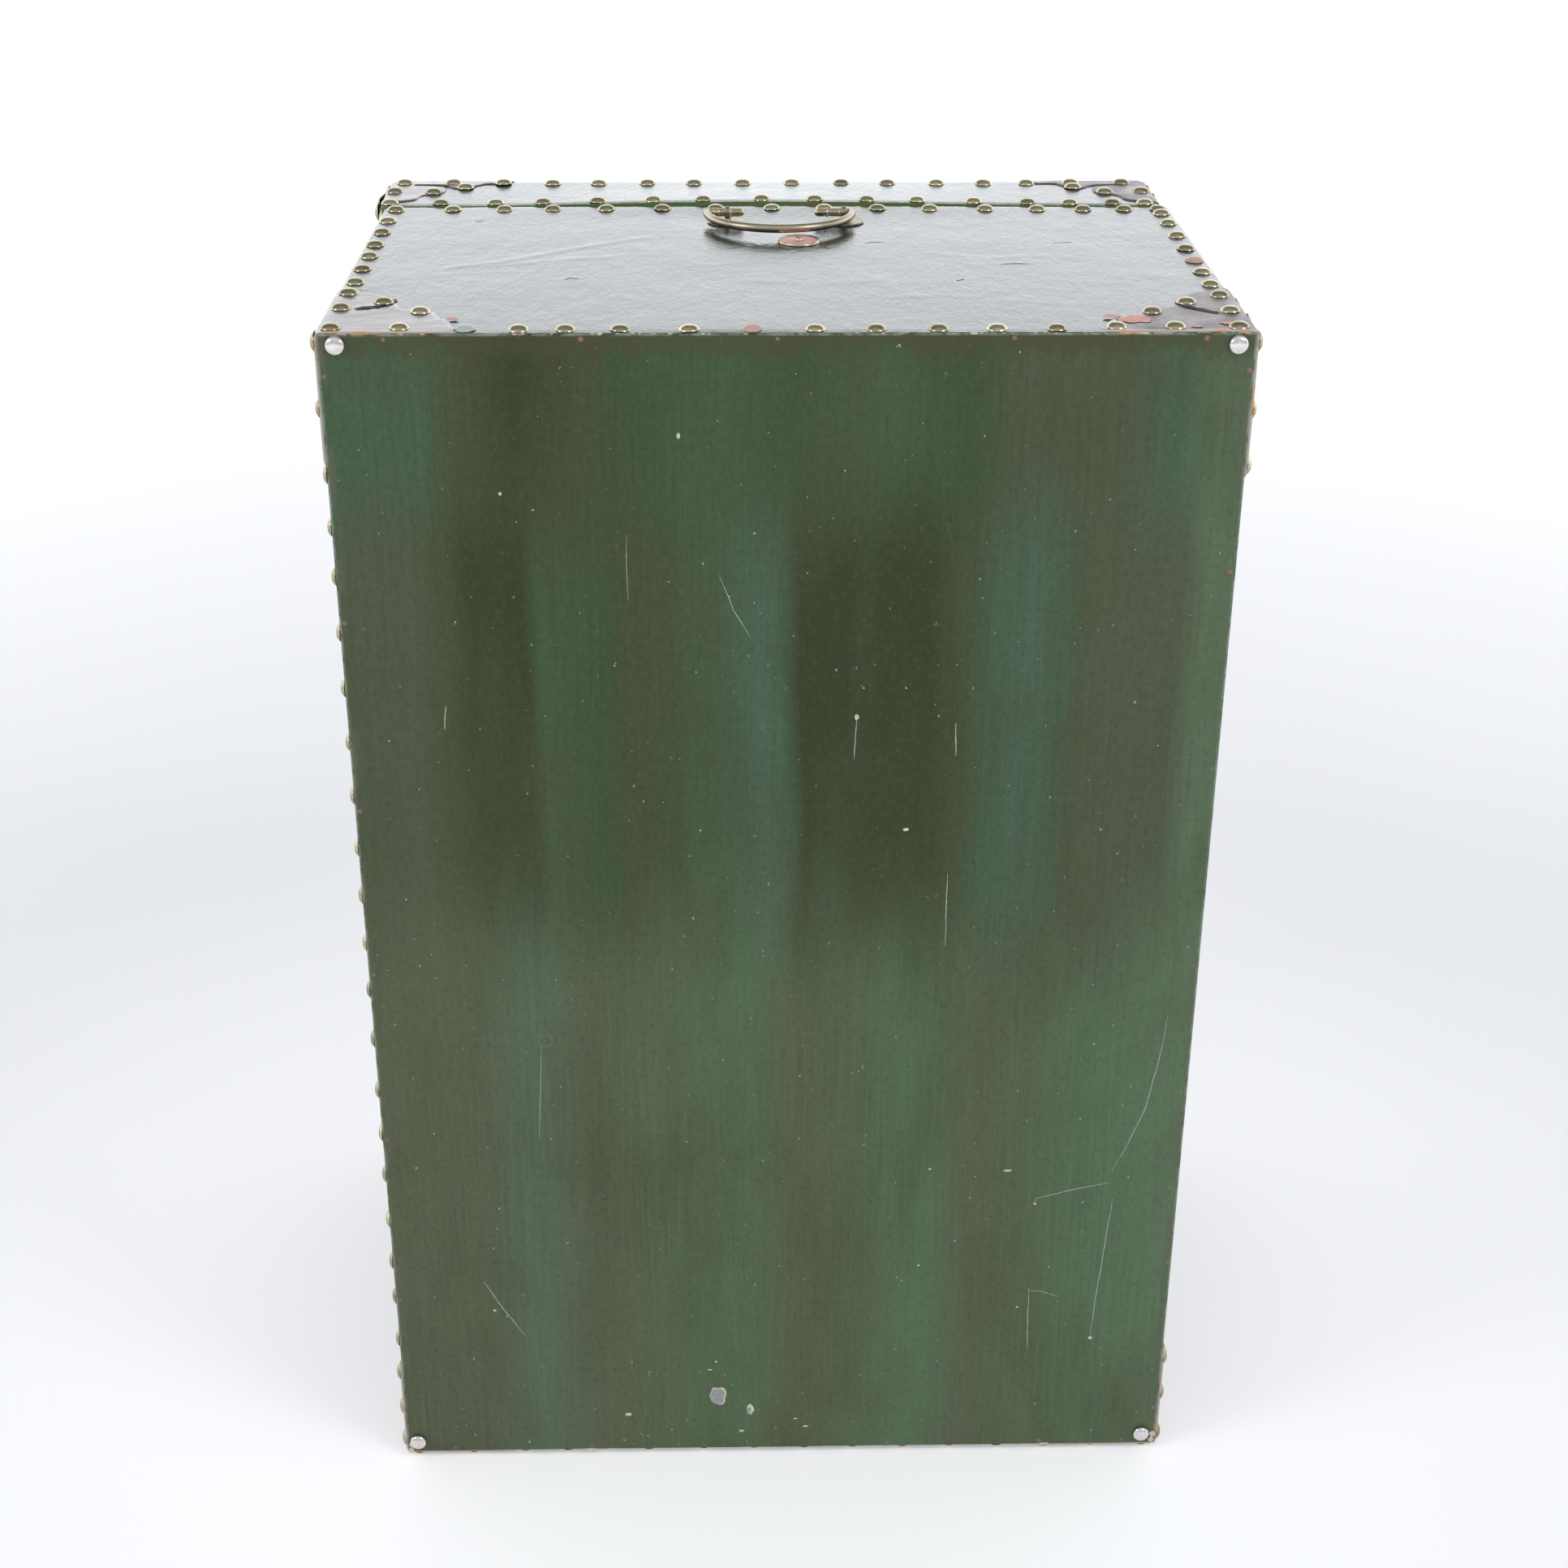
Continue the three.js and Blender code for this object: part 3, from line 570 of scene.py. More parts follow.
def old_brass(name, light, dark, rough_low, rough_high, stain=0.5, mottle=0.25):
    """Aged brass whose tone differs from part to part. A tone above 1 is paint on it."""
    net = Net(name)
    tone = net.tone()
    cloud = net.noise(110.0, 5.0, 0.65, 1.0)
    mixed = net.math("ADD", net.spread(cloud, 0.3, 0.7, -mottle, mottle), tone)
    bright = tuple(min(1.0, c * 1.35) for c in light)
    colour = net.ramp(mixed, [(0.0, dark), (0.55, light), (1.0, bright)])
    colour = net.stain(colour, tone, 1.2, 1.3, (0.42, 0.46, 0.43))
    colour = net.stain(colour, tone, 1.7, 1.8, (0.52, 0.33, 0.28))
    colour = net.stain(colour, net.noise(300.0, 4.0, 0.7, 3.0), 0.5, 0.7, (0.09, 0.06, 0.03), stain)
    rough = net.spread(net.noise(200.0, shift=2.0), 0.3, 0.7, rough_low, rough_high)
    rough = net.math("ADD", rough, net.spread(tone, 1.2, 1.3, 0.0, 0.22))
    bare = net.spread(tone, 1.2, 1.3, 1.0, 0.0)
    relief = net.bump(net.noise(600.0, 3.0, 0.6, 5.0), 0.0001, 0.4)
    return net.finish(colour, rough, relief, bare, Specular_Tint=(0.74, 0.76, 0.73, 1.0))


def bright_metal(name, light, dark, rough_low, rough_high):
    net = Net(name)
    colour = net.stain(light, net.noise(150.0, shift=1.0), 0.35, 0.7, dark)
    rough = net.spread(net.noise(260.0, shift=2.0), 0.3, 0.7, rough_low, rough_high)
    relief = net.bump(net.noise(900.0, 2.0, 0.6, 5.0), 0.00006, 0.4)
    return net.finish(colour, rough, relief, 1.0)


def wood(name, rim=None, along="Z"):
    """Old pine. Where a rim is given, its face is painted green."""
    net = Net(name)
    long, wide = 3.0, 60.0
    stretch = {"Z": (wide, wide, long), "X": (long, wide, wide)}[along]
    rings = net.noise(stretch, shift=1.0)
    bands = net.math("FRACT", net.math("MULTIPLY", rings, 7.0))
    colour = net.ramp(bands, [(0.0, (0.42, 0.25, 0.12)), (0.6, (0.33, 0.185, 0.085)),
                              (0.93, (0.21, 0.11, 0.05)), (1.0, (0.38, 0.22, 0.105))])
    fibre = net.noise(tuple(s * 9 for s in stretch), 3.0, 0.6, 2.0)
    colour = net.stain(colour, fibre, 0.35, 0.7, (0.16, 0.09, 0.045), 0.4)
    colour = net.stain(colour, net.noise(6.0, shift=3.0), 0.45, 0.7, (0.11, 0.07, 0.04), 0.5)
    if rim:
        paint = net.stain(SEAM_GREEN, net.noise(50.0, shift=5.0), 0.4, 0.62, SEAM_GRIME)
        colour = net.stain(colour, net.axis("Y"), row_y(rim[0]), row_y(rim[1]), paint)
    relief = net.bump(fibre, 0.0003, 0.6)
    return net.finish(colour, net.spread(fibre, 0.3, 0.7, 0.55, 0.78), relief, IOR=1.45)


def lip_paint():
    net = Net("lip_paint")
    cloud = net.noise(35.0, 5.0, 0.65, 1.0)
    colour = net.mix(cloud, (0.035, 0.13, 0.045), (0.07, 0.21, 0.07))
    colour = net.stain(colour, net.noise((70.0, 70.0, 25.0), 4.0, 0.65, 2.0), 0.60, 0.66, (0.30, 0.19, 0.09))
    relief = net.bump(net.noise((300.0, 300.0, 60.0), 3.0, 0.6, 3.0), 0.0003, 0.5)
    return net.finish(colour, net.spread(cloud, 0.3, 0.7, 0.4, 0.6), relief, IOR=1.5)


def dry_paint(name, dark, light, size=500.0, rough=0.7):
    """Bare or dusty spots: chips, scratches and rusty nail heads; also the painted shade in the leather's
    cuts and the strike dish's pink, which is partly a painted reflection.
    """
    net = Net(name)
    cloud = net.noise(size, 3.0, 0.6, 1.0)
    colour = net.stain(dark, cloud, 0.3, 0.7, light)
    relief = net.bump(cloud, 0.0002, 0.5)
    return net.finish(colour, net.spread(cloud, 0.3, 0.7, rough - 0.1, rough + 0.1), relief)


CASE_RIM_PAINT = (RIM - 0.5, RIM - 0.3)
LID_RIM_PAINT = (LID_RIM + 0.8, LID_RIM + 0.6)
PAINT = board_paint()
CASE_HIDE = hide("case_hide")
LID_HIDE = hide("lid_hide", lid=True)
PATCH_HIDE = patch_hide()
STUD_BRASS = old_brass("stud_brass", (0.44, 0.39, 0.26), (0.27, 0.22, 0.135), 0.15, 0.26, 0.3)
BAIL_BRASS = old_brass("bail_brass", (0.43, 0.36, 0.27), (0.30, 0.24, 0.18), 0.26, 0.34, 0.12, 0.08)
PLATE_BRASS = old_brass("plate_brass", (0.32, 0.29, 0.24), (0.20, 0.17, 0.13), 0.26, 0.40, 0.2)
NICKEL = bright_metal("nickel", (0.80, 0.77, 0.78), (0.60, 0.55, 0.55), 0.17, 0.23)
STEEL = bright_metal("steel", (0.42, 0.40, 0.37), (0.22, 0.18, 0.15), 0.28, 0.46)
WOOD_SIDE = wood("wood_side", CASE_RIM_PAINT)
WOOD_END = wood("wood_end", CASE_RIM_PAINT, "X")
LID_WOOD_SIDE = wood("lid_wood_side", LID_RIM_PAINT)
LID_WOOD_END = wood("lid_wood_end", LID_RIM_PAINT, "X")
LID_WOOD_PANEL = wood("lid_wood_panel")
LIP_PAINT = lip_paint()
NAIL_RUST = dry_paint("nail_rust", (0.07, 0.045, 0.035), (0.32, 0.17, 0.14), 900.0)
CREAM = dry_paint("chip_cream", (0.42, 0.36, 0.27), (0.66, 0.62, 0.52))
GREY = dry_paint("chip_grey", (0.20, 0.21, 0.22), (0.34, 0.35, 0.37), 300.0)
PINK = dry_paint("chip_pink", (0.50, 0.22, 0.17), (0.72, 0.40, 0.34), 300.0)
BARE_WOOD = dry_paint("chip_wood", (0.45, 0.20, 0.07), (0.72, 0.40, 0.17))
# salmon pink of the strike dish: partly salmon paint, partly a painted reflection of the bail's underside
DISH_PINK = dry_paint("dish_pink", (0.50, 0.21, 0.17), (0.74, 0.40, 0.34), 260.0, 0.4)
# dark strips of painted shade for the shadow inside the leather's cuts
CUT_SHADE = dry_paint("cut_painted_shade", (0.012, 0.010, 0.009), (0.03, 0.024, 0.02))
SCRATCH = dry_paint("scratch", (0.20, 0.25, 0.18), (0.46, 0.50, 0.42))

CAD_FINISHES = {
    "case_lock_side": WOOD_SIDE, "case_hinge_side": WOOD_SIDE, "case_upper_end": WOOD_END,
    "case_lower_end": WOOD_END, "lid_panel": LID_WOOD_PANEL, "lid_lock_side": LID_WOOD_SIDE,
    "lid_hinge_side": LID_WOOD_SIDE, "lid_lower_end": LID_WOOD_END, "lock_link": PLATE_BRASS,
    "escutcheon": PLATE_BRASS,
}
SLOT_FINISHES = {
    "brass": PLATE_BRASS, "steel": STEEL, "nickel": NICKEL, "bright_green": LIP_PAINT,
    "raw_wood": WOOD_SIDE, "green_paint": PAINT, "leather": CASE_HIDE, "patch_leather": PATCH_HIDE,
}


def finish_cad_nodes():
    """New finishes for the CAD pieces that stay."""
    for name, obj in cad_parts.items():
        mesh = obj.data
        for index, material in enumerate(mesh.materials):
            mesh.materials[index] = CAD_FINISHES.get(name) or SLOT_FINISHES[material.name]
        if "tone" not in mesh.attributes:
            add_tones(mesh, [0.5] * len(mesh.vertices))


finish_cad_nodes()

# ---- leather ---------------------------------------------------------------------------
CREASES = (  # on the upper end: x and y along a fold, its height and its half width
    (((-232, 164), (-186, 188), (-154, 214), (-120, 238), (-97, 252)), 0.34, 2.8),
    (((-205, 168), (-160, 186), (-118, 196)), 0.2, 3.0),
    (((-60, 170), (-10, 182), (30, 180)), 0.15, 5.0),
    (((72, 86), (105, 90), (128, 84)), 0.16, 3.5),
    (((147, 76), (172, 70), (195, 68)), 0.16, 3.5),
    (((-30, 130), (20, 122), (60, 128)), 0.14, 5.0),
    (((110, 200), (150, 190), (185, 196)), 0.14, 5.0),
)
CASE_BOW = 1.2  # rise of the case's upper end at the seam
CASE_BOW_DEPTH = 45.0
LID_BOW = 3.4  # rise of the lid's upper end at its rim
LID_BOW_HALF = 235.0  # half the length that rises
HIDE_FRONT = 2.2  # where the case's leather starts behind the board's face
KEYHOLE = 11.0  # half size of the leather's hole for the key, hidden by the escutcheon
BOARD_STEP = 1.6  # how far the board steps in under the leather
BOARD_DENTS = (120, 60, 150)
BOARD_SEED = 21


def hide_relief(points, seed):
    """Slow undulations and small folds of the leather, never above its plane by much."""
    slow = noise_at(points, (110, 90, 110), seed, 2) * 0.30
    small = noise_at(points, (20, 16, 20), seed + 3, 3) * 0.08
    return slow + small - 0.12


def bow_share(points):
    """Share of the rise along the seam, from none at the ends to all of it in the middle."""
    share = np.clip(1 - np.abs(points[:, 0] + 5) / LID_BOW_HALF, 0, 1)
    return np.sin(share * math.pi / 2) ** 1.5


def case_bow(points):
    """How far the case's upper end has risen at these points."""
    depth = np.clip(1 - (RIM - points[:, 1]) / CASE_BOW_DEPTH, 0, 1)
    return CASE_BOW * bow_share(points) * depth * depth * (3 - 2 * depth)


def lid_bow(points):
    """How far the lid's upper end has risen at these points."""
    depth = np.clip(1 - (points[:, 1] - LID_RIM) / (LID_FACE - LID_RIM), 0, 1)
    return LID_BOW * bow_share(points) * depth


def dented(points, seed=BOARD_SEED):
    return np.clip(noise_at(points, BOARD_DENTS, seed) * 0.30 + 0.25, 0, 1)


def hide_body(points, normals, faces, height):
    """The leather as a closed body, with its outside moved along the normals."""
    outer = points + normals * height[:, None]
    return np.vstack([outer, outer - normals * HIDE_THICK]), closed(faces, len(points))


def cut_keyhole(points, normals, faces):
    """Leave out the leather where the key goes through it."""
    middle = node_middle("escutcheon")
    kept = []
    for face in faces:
        spot = points[list(face)].mean(axis=0)
        if spot[0] > LEFT + 1 or math.dist(spot[1:], middle[1:]) > KEYHOLE:
            kept.append(face)
    used = sorted({i for face in kept for i in face})
    index = {old: new for new, old in enumerate(used)}
    return points[used], normals[used], [tuple(index[i] for i in face) for face in kept]


def make_case_hide():
    low, high = CASE[0].copy(), CASE[1]
    low[1] = HIDE_FRONT
    skin = box_skin(low, high, (3.8, 3.8, 9.0), CASE_ROUND, {(1, -1), (1, 1)})
    points, normals, faces = cut_keyhole(*skin)
    height = hide_relief(points, 1)
    top = normals[:, 2] > 0.99
    for line, rise, width in CREASES:
        distance = polyline_distance(points[:, :2], line)
        height += np.where(top, rise * np.exp(-((distance / width) ** 2)), 0)
    rim = np.clip(1 - (RIM - points[:, 1]) / 5.0, 0, 1)
    height = height * (1 - rim) - 1.1 * rim ** 2
    front = np.clip(1 - (points[:, 1] - low[1]) / 4.0, 0, 1)
    height = height * (1 - front) - 0.35 * front
    body, faces = hide_body(points, normals, faces, height)
    body[:, 2] += np.where(body[:, 2] > HIGH - 3, case_bow(body), 0)
    make_piece("case_hide", Shape().add(body, faces), CASE_HIDE, "case", ["case_leather"])


def make_lid_hide():
    points, normals, faces = box_skin(*LID, (5.0, 4.0, 9.0), LID_ROUND, {(1, -1)})
    rim = np.clip(1 - (points[:, 1] - LID_RIM) / 4.0, 0, 1)
    height = hide_relief(points, 8) * (1 - rim) - 0.8 * rim ** 2
    body, faces = hide_body(points, normals, faces, height)
    body[:, 2] += np.where(body[:, 2] > HIGH - 12, lid_bow(body), 0)
    make_piece("lid_hide", Shape().add(body, faces), LID_HIDE, "lid", ["lid_leather"])


def make_lid_end_board():
    """The lid's upper board, which has risen with its leather."""
    points, _, faces = box_skin(*node_box("lid_upper_end"), (12.0, 12.0, 6.0), 0.6, set())
    points[:, 2] += lid_bow(points)
    shape = Shape().add(points, faces)
    make_piece("lid_end_board", shape, LID_WOOD_END, "lid", ["lid_upper_end"])


def make_bottom_board():
    """The nailed-on board: a face as wide as the case, stepped in under the leather."""
    low = np.array([LEFT + 0.5, 0.0, LOW + 0.5])
    high = np.array([RIGHT - 0.5, 14.0, HIGH - 0.5])
    points, normals, faces = box_skin(low, high, (9.0, 4.0, 9.0), 1.1, set())
    chipped = noise_at(points, (9, 9, 9), 25)
    face_on = np.clip(-normals[:, 1], 0, 1)
    points[:, 1] += face_on * dented(points)
    edge = (face_on > 0.2) & (face_on < 0.95)
    points -= normals * np.where(edge, np.clip(chipped * 1.6 - 0.35, 0, 0.7), 0)[:, None]
    behind = points[:, 1] > 2.0
    middle = (low + high) / 2
    for axis in (0, 2):
        side = np.abs(normals[:, axis]) > 0.3
        inwards = np.sign(points[:, axis] - middle[axis]) * BOARD_STEP
        points[:, axis] -= np.where(behind & side, inwards, 0)
    shape = Shape().add(points, faces)
    make_piece("bottom_panel", shape, PAINT, "case", ["bottom_board"])


make_case_hide()
make_lid_hide()
make_lid_end_board()
make_bottom_board()

# ---- corner patches --------------------------------------------------------------------
# Outline on one face, from the corner: u along the case's width or height, v along its
# depth. A broad lobe reaches along u, a narrow tab along v, with a slit between them.
LOCK_OUTLINE = (
    (88, 0), (87.5, 9), (85, 19), (80, 28), (75, 34), (72, 44), (66, 53), (57, 54), (49, 53), (46, 60),
    (43, 71), (38, 62), (31, 54.5), (21, 51.5), (19, 53), (30, 57), (36, 64), (42, 73), (44, 78),
    (34, 87), (25, 97), (13, 102), (0, 104),
)
HINGE_OUTLINE = (
    (98, 0), (97, 12), (92, 25), (86, 31), (77, 36), (71, 43), (66, 51), (57, 54), (49, 53), (44, 58),
    (42, 63), (36, 50), (28, 42.5), (20, 37), (18, 38.5), (26, 44.5), (34, 52.5), (40, 64), (43, 70),
    (39, 78), (31, 87), (22, 92), (10, 99), (0, 104),
)
LID_OUTLINE = (
    (99, 0), (96, 8), (89, 15), (80, 13.5), (74, 15), (66, 27), (59, 33), (51, 29), (46, 21), (34, 18.4),
    (22, 18.4), (20, 19.6), (33, 20.8), (44, 24), (47, 33), (47, 43), (43, 50), (34, 52), (29, 57), (27, 70),
    (16, 75), (0, 80),
)
LOCK_SLIT = ((20, 52), (31, 56), (37, 63), (43, 72))
HINGE_SLIT = ((19, 37.5), (27, 43.5), (35, 51), (41, 63))
LID_SLIT = ((21, 19), (34, 19.6), (45, 22))
FACE_STRETCH = 98 / 80  # the lid's face has the same patch, a little deeper
PATCH_START = 1.5  # where the case's patches start behind the board's face
CASE_LIFT = 0.6  # how far the leather has lifted along the slit
LID_LIFT = 0.25
LID_SWELL = 3.2  # the lid's upper lock corner has come away from the wood
CASE_PATCH_SHARE = 0.85  # thickness over PATCH
LID_PATCH_SHARE = 0.55
SHEET_STEP = 4.0
EDGE_WOBBLE = 0.45
EDGE_LINE = 0.8  # how far inside the free edge its own row of points runs
EDGE_ROUND = 1.4


def stretched(line):
    return tuple((u, v * FACE_STRETCH) for u, v in line)


def line_direction(points, i):
    along = np.array(points[min(i + 1, len(points) - 1)]) - np.array(points[max(i - 1, 0)])
    return along / (np.linalg.norm(along) + 1e-9)


def free_edge(outline, seed):
    """Corner-cut points along an outline, with a small wobble, kept on the face."""
    points = [np.array(p, float) for p in outline]
    for _ in range(2):
        fresh = [points[0]]
        for a, b in zip(points, points[1:]):
            fresh += [a * 0.75 + b * 0.25, a * 0.25 + b * 0.75]
        points = fresh + [points[-1]]
    moved = []
    for i, p in enumerate(points):
        if 0 < i < len(points) - 1:
            along = line_direction(points, i)
            wobble = noise.noise(Vector((p[0] / 5, p[1] / 5, seed))) * EDGE_WOBBLE
            p = p + np.array([along[1], -along[0]]) * wobble
        moved.append((max(0.0, p[0]), max(0.0, p[1])))
    return moved


def inside(polygon, u, v):
    hit = False
    for (x0, y0), (x1, y1) in zip(polygon, polygon[1:] + polygon[:1]):
        if (y0 > v) != (y1 > v) and u < (x1 - x0) * (v - y0) / (y1 - y0) + x0:
            hit = not hit
    return hit


def edge_points(a, b):
    count = max(1, round(math.dist(a, b) / SHEET_STEP))
    return [tuple(a[k] + (b[k] - a[k]) * i / count for k in (0, 1)) for i in range(count)]


def sheet(free):
    """Triangles that fill the area between the corner and the free edge."""
    loop = []
    for p in edge_points((0, 0), free[0]) + free + edge_points(free[-1], (0, 0)):
        if not loop or math.dist(p, loop[-1]) > 0.35:
            loop.append(p)
    columns, rows = (int(max(p[k] for p in loop) / SHEET_STEP) + 1 for k in (0, 1))
    fill = [
        ((c + (r % 2) * 0.5) * SHEET_STEP, r * SHEET_STEP)
        for r in range(1, rows) for c in range(1, columns)
    ]
    for i, p in enumerate(free):
        along = line_direction(free, i)
        fill.append((p[0] - along[1] * EDGE_LINE, p[1] + along[0] * EDGE_LINE))
    gaps = polyline_distance(np.array(fill), loop + loop[:1])
    keep = [p for p, gap in zip(fill, gaps) if gap > 0.6 and inside(loop, *p)]
    flat = [Vector(p) for p in loop + keep]
    verts, _, faces, *_ = delaunay_2d_cdt(flat, [], [list(range(len(loop)))], 1, 1e-4)
    return np.array([(p.x, p.y) for p in verts]), faces


def patch_leg(shape, outline, slit, place, seed, on_case, swell=0.0):
    """One face's part of a patch. place(u, v, h) gives points on the rounded box."""
    free = free_edge(outline, seed)
    uv, faces = sheet(free)
    u, v = uv.T
    count = len(uv)
    gap = polyline_distance(uv, free)
    slit_v = np.interp(u, *zip(*slit))
    lifted = v > slit_v if on_case else v < slit_v
    lift = (CASE_LIFT if on_case else LID_LIFT) * np.exp(-((polyline_distance(uv, slit) / 4.5) ** 2))
    lift = np.where(lifted, lift, 0.0) + swell * np.exp(-(((v - 66) / 17) ** 2) - (u / 26) ** 2)
    wave = noise_at(np.column_stack([uv, np.full(count, seed * 3.0)]), (22, 22, 9), seed) * 0.22
    rounding = np.sqrt(1 - (1 - np.clip(gap / EDGE_ROUND, 0, 1)) ** 2)
    thickness = PATCH * (CASE_PATCH_SHARE if on_case else LID_PATCH_SHARE)
    top = thickness * (0.25 + 0.75 * rounding) + lift + np.where(gap > 0.5, wave - 0.1, -0.1)
    upper = place(u, v, np.minimum(top, PATCH + 2.0 + swell))
    lower = place(u, v, lift - 0.3)
    solid = closed(faces, count)
    a, b, c = (upper[i] for i in faces[0][:3])
    if np.dot(np.cross(b - a, c - a), a - lower[faces[0][0]]) < 0:
        solid = [face[::-1] for face in solid]
    start = len(shape.points)
    shape.add(np.vstack([upper, lower]), solid)
    # tones 0.3 and 0.5 on top and 0.78 underneath; the material turns the high tone into painted shade down
    # the walls and under the patch
    shade = np.where(gap < 0.4, 0.5, 0.3)
    shape.tones[start:] = np.concatenate([shade, np.full(count, 0.78)]).tolist()


def make_patch(name, body, corner, outline, slit, replaced, seed):
    """All legs of one corner's patch. corner gives the side, -1 or 1, along X and Z."""
    on_case = body == "case"
    low, high = CASE if on_case else LID
    radius = CASE_ROUND if on_case else LID_ROUND
    start_v, dy = (PATCH_START, 1) if on_case else (LID_FACE, -1)
    open_sides = {(1, 1), (1, -1)} if on_case else {(1, -1)}
    x, z = ((low if side < 0 else high)[axis] for axis, side in zip((0, 2), corner))
    dx, dz = -corner[0], -corner[1]
    spots = {
        "end": lambda u, v: (x + dx * u, start_v + dy * v, z + 0 * u),
        "side": lambda u, v: (x + 0 * u, start_v + dy * v, z + dz * u),
        "face": lambda u, v: (x + dx * u, start_v + 0 * u, z + dz * v),
    }

    def placer(kind):
        def place(u, v, h):
            points = np.column_stack(spots[kind](u, v))
            surface, normals = round_box(points, low, high, radius, open_sides)
            return surface + normals * h[:, None]
        return place

    shape = Shape()
    patch_leg(shape, outline, slit, placer("end"), seed, on_case)
    swell = LID_SWELL if not on_case and corner == (-1, 1) else 0.0
    patch_leg(shape, outline, slit, placer("side"), seed + 1, on_case, swell)
    if not on_case:
        patch_leg(shape, stretched(outline), stretched(slit), placer("face"), seed + 2, False)
    make_piece(name, shape, PATCH_HIDE, body, [replaced], sharp=60)


def make_patches():
    seed = 1
    for zname, z in (("upper", 1), ("lower", -1)):
        for xname, x, outline, slit in (
            ("lock", -1, LOCK_OUTLINE, LOCK_SLIT), ("hinge", 1, HINGE_OUTLINE, HINGE_SLIT),
        ):
            which = f"{zname}_{xname}"
            make_patch(f"corner_{which}", "case", (x, z), outline, slit, f"patch_{which}", seed)
            make_patch(
                f"lid_corner_{which}", "lid", (x, z), LID_OUTLINE, LID_SLIT, f"lid_patch_{which}", seed + 40,
            )
            seed += 5


make_patches()

# ---- brass studs -----------------------------------------------------------------------
STUD_PROFILE = (  # radius, share of the height
    (0, -0.16), (6.4, -0.16), (7.0, -0.03), (6.8, 0.12), (6.35, 0.29), (5.7, 0.49), (4.7, 0.71), (3.4, 0.88),
    (1.8, 0.975), (0, 1.0),
)
STUD_SIDES = 20
STUD_LEAN = 0.035
LEAN_ROOM = 0.91  # keeps a leaning stud within its height
ON_LEATHER = 0.05
ON_CASE_PATCH = PATCH - 0.15
ON_LID_PATCH = 0.7

UPPER_FRONT = (-291.1, -247.5, -205.8, -171.9, -142.1, -107.1, -63.3, -23, 17.2, 56, 96.3, 133.5,
               171.8, 210.2, 248, 289)
UPPER_SEAM = (-289.5, -246.7, -207.6, -171, -130.6, -87.8, -47.3, -5, 34.9, 75.4, 115.4, 157.8, 197.2,
              232.4, 263.8, 289.7)
UPPER_LOCK = (302, 267, 230, 197, 161, 126, 94, 57)
UPPER_HINGE = (325, 293, 255, 216, 181, 150, 117, 85, 47)
CASE_PATCH_STUDS = ((35, 71), (61.5, 48))
LID_NEAR = (-297, -257.7, -216, -179.9, -137.8, -95.7, -57.3, -12.4, 28.3, 68.7, 107.2, 150.7, 192.4,
            224.8, 257.9, 283)
LID_FAR = (-293, -255, -215.5, -176.6, -140.3, -101.9, -64.9, -26.5, 12.6, 51.6, 88.2, 127.3, 164.9,
           198.9, 234, 274.5)
LID_PATCH_STUDS = ((38, 43), (61, 26))
LOCK_SIDE_Z = (908, 864, 819.5, 783, 748, 708, 667, 626, 585, 544, 506, 467, 428, 386, 341.5, 303, 265.5,
               224, 185, 151, 110, 77, 42.6, 10)
HINGE_SIDE_Z = (907, 862, 824, 84.5, 48, 8)
PAINTED = {-205.8: 1.5, -23: 2.0, 181: 2.0}  # tones of the studs that caught some paint
SEAM_Y = 338.5
FRONT_Y = 9.3
FOOT_Y = 7.5
FOOT_HEIGHT = 4.7
LOCK_SEAM_Y = 341.0
LID_NEAR_Y = 360.0
LID_MIDDLE_Y = 397
LID_FAR_Y = 427.0
ENDS = ((HIGH, -1), (LOW, 1))  # an end's height and the way inwards


class StudFace:
    """Studs on one flat face. The axis and side say which; a and b are the other two axes."""

    def __init__(self, name, body, axis, side, seed, nodes=()):
        self.name, self.body, self.axis, self.side, self.nodes = name, body, axis, side, nodes
        self.on_case = body == "case"
        self.box = CASE if self.on_case else LID
        self.across = [k for k in range(3) if k != axis]
        self.shape, self.rng = Shape(), random.Random(seed)

    def on_patch(self, a, b):
        """Whether a place is on a corner patch, measured from the nearest corner."""
        low, high = self.box
        u, w = (min(p - low[k], high[k] - p) for p, k in zip((a, b), self.across))
        start = 0 if self.on_case else LID_FACE
        place = {0: (w, abs(a - start)), 1: (u, w), 2: (u, abs(b - start))}[self.axis]
        outline = stretched(LID_OUTLINE) if self.axis == 1 else LID_OUTLINE
        if self.on_case:
            outline = LOCK_OUTLINE if (self.side if self.axis == 0 else a) < 0 else HINGE_OUTLINE
        return inside([(0, 0), *outline], *place)

    def put(self, a, b, height=STUD_HEIGHT, paint=None):
        on_patch = ON_CASE_PATCH if self.on_case else ON_LID_PATCH
        raised = on_patch if self.on_patch(a, b) else ON_LEATHER
        centre, normal = np.zeros(3), np.zeros(3)
        centre[self.across] = a, b
        centre[self.axis] = (self.box[1] if self.side > 0 else self.box[0])[self.axis] + self.side * raised
        normal[self.axis] = self.side
        if self.axis == 2 and self.side > 0:
            centre[2] += (case_bow if self.on_case else lid_bow)(centre[None, :])[0]
        tilted = normal + [self.rng.uniform(-STUD_LEAN, STUD_LEAN) for _ in range(3)]
        size = self.rng.uniform(0.96, 1.0)
        profile = [(r * size, h * height * LEAN_ROOM) for r, h in STUD_PROFILE]
        points, faces = lathe(profile, STUD_SIDES, centre, tilted, self.rng.uniform(0, 6))
        tone = self.rng.uniform(0.25, 0.85)
        self.shape.add(points, faces, paint or tone)

    def shake(self, amount=1.2):
        return self.rng.uniform(-amount, amount)

    def done(self):
        make_piece(self.name, self.shape, STUD_BRASS, self.body, self.nodes)


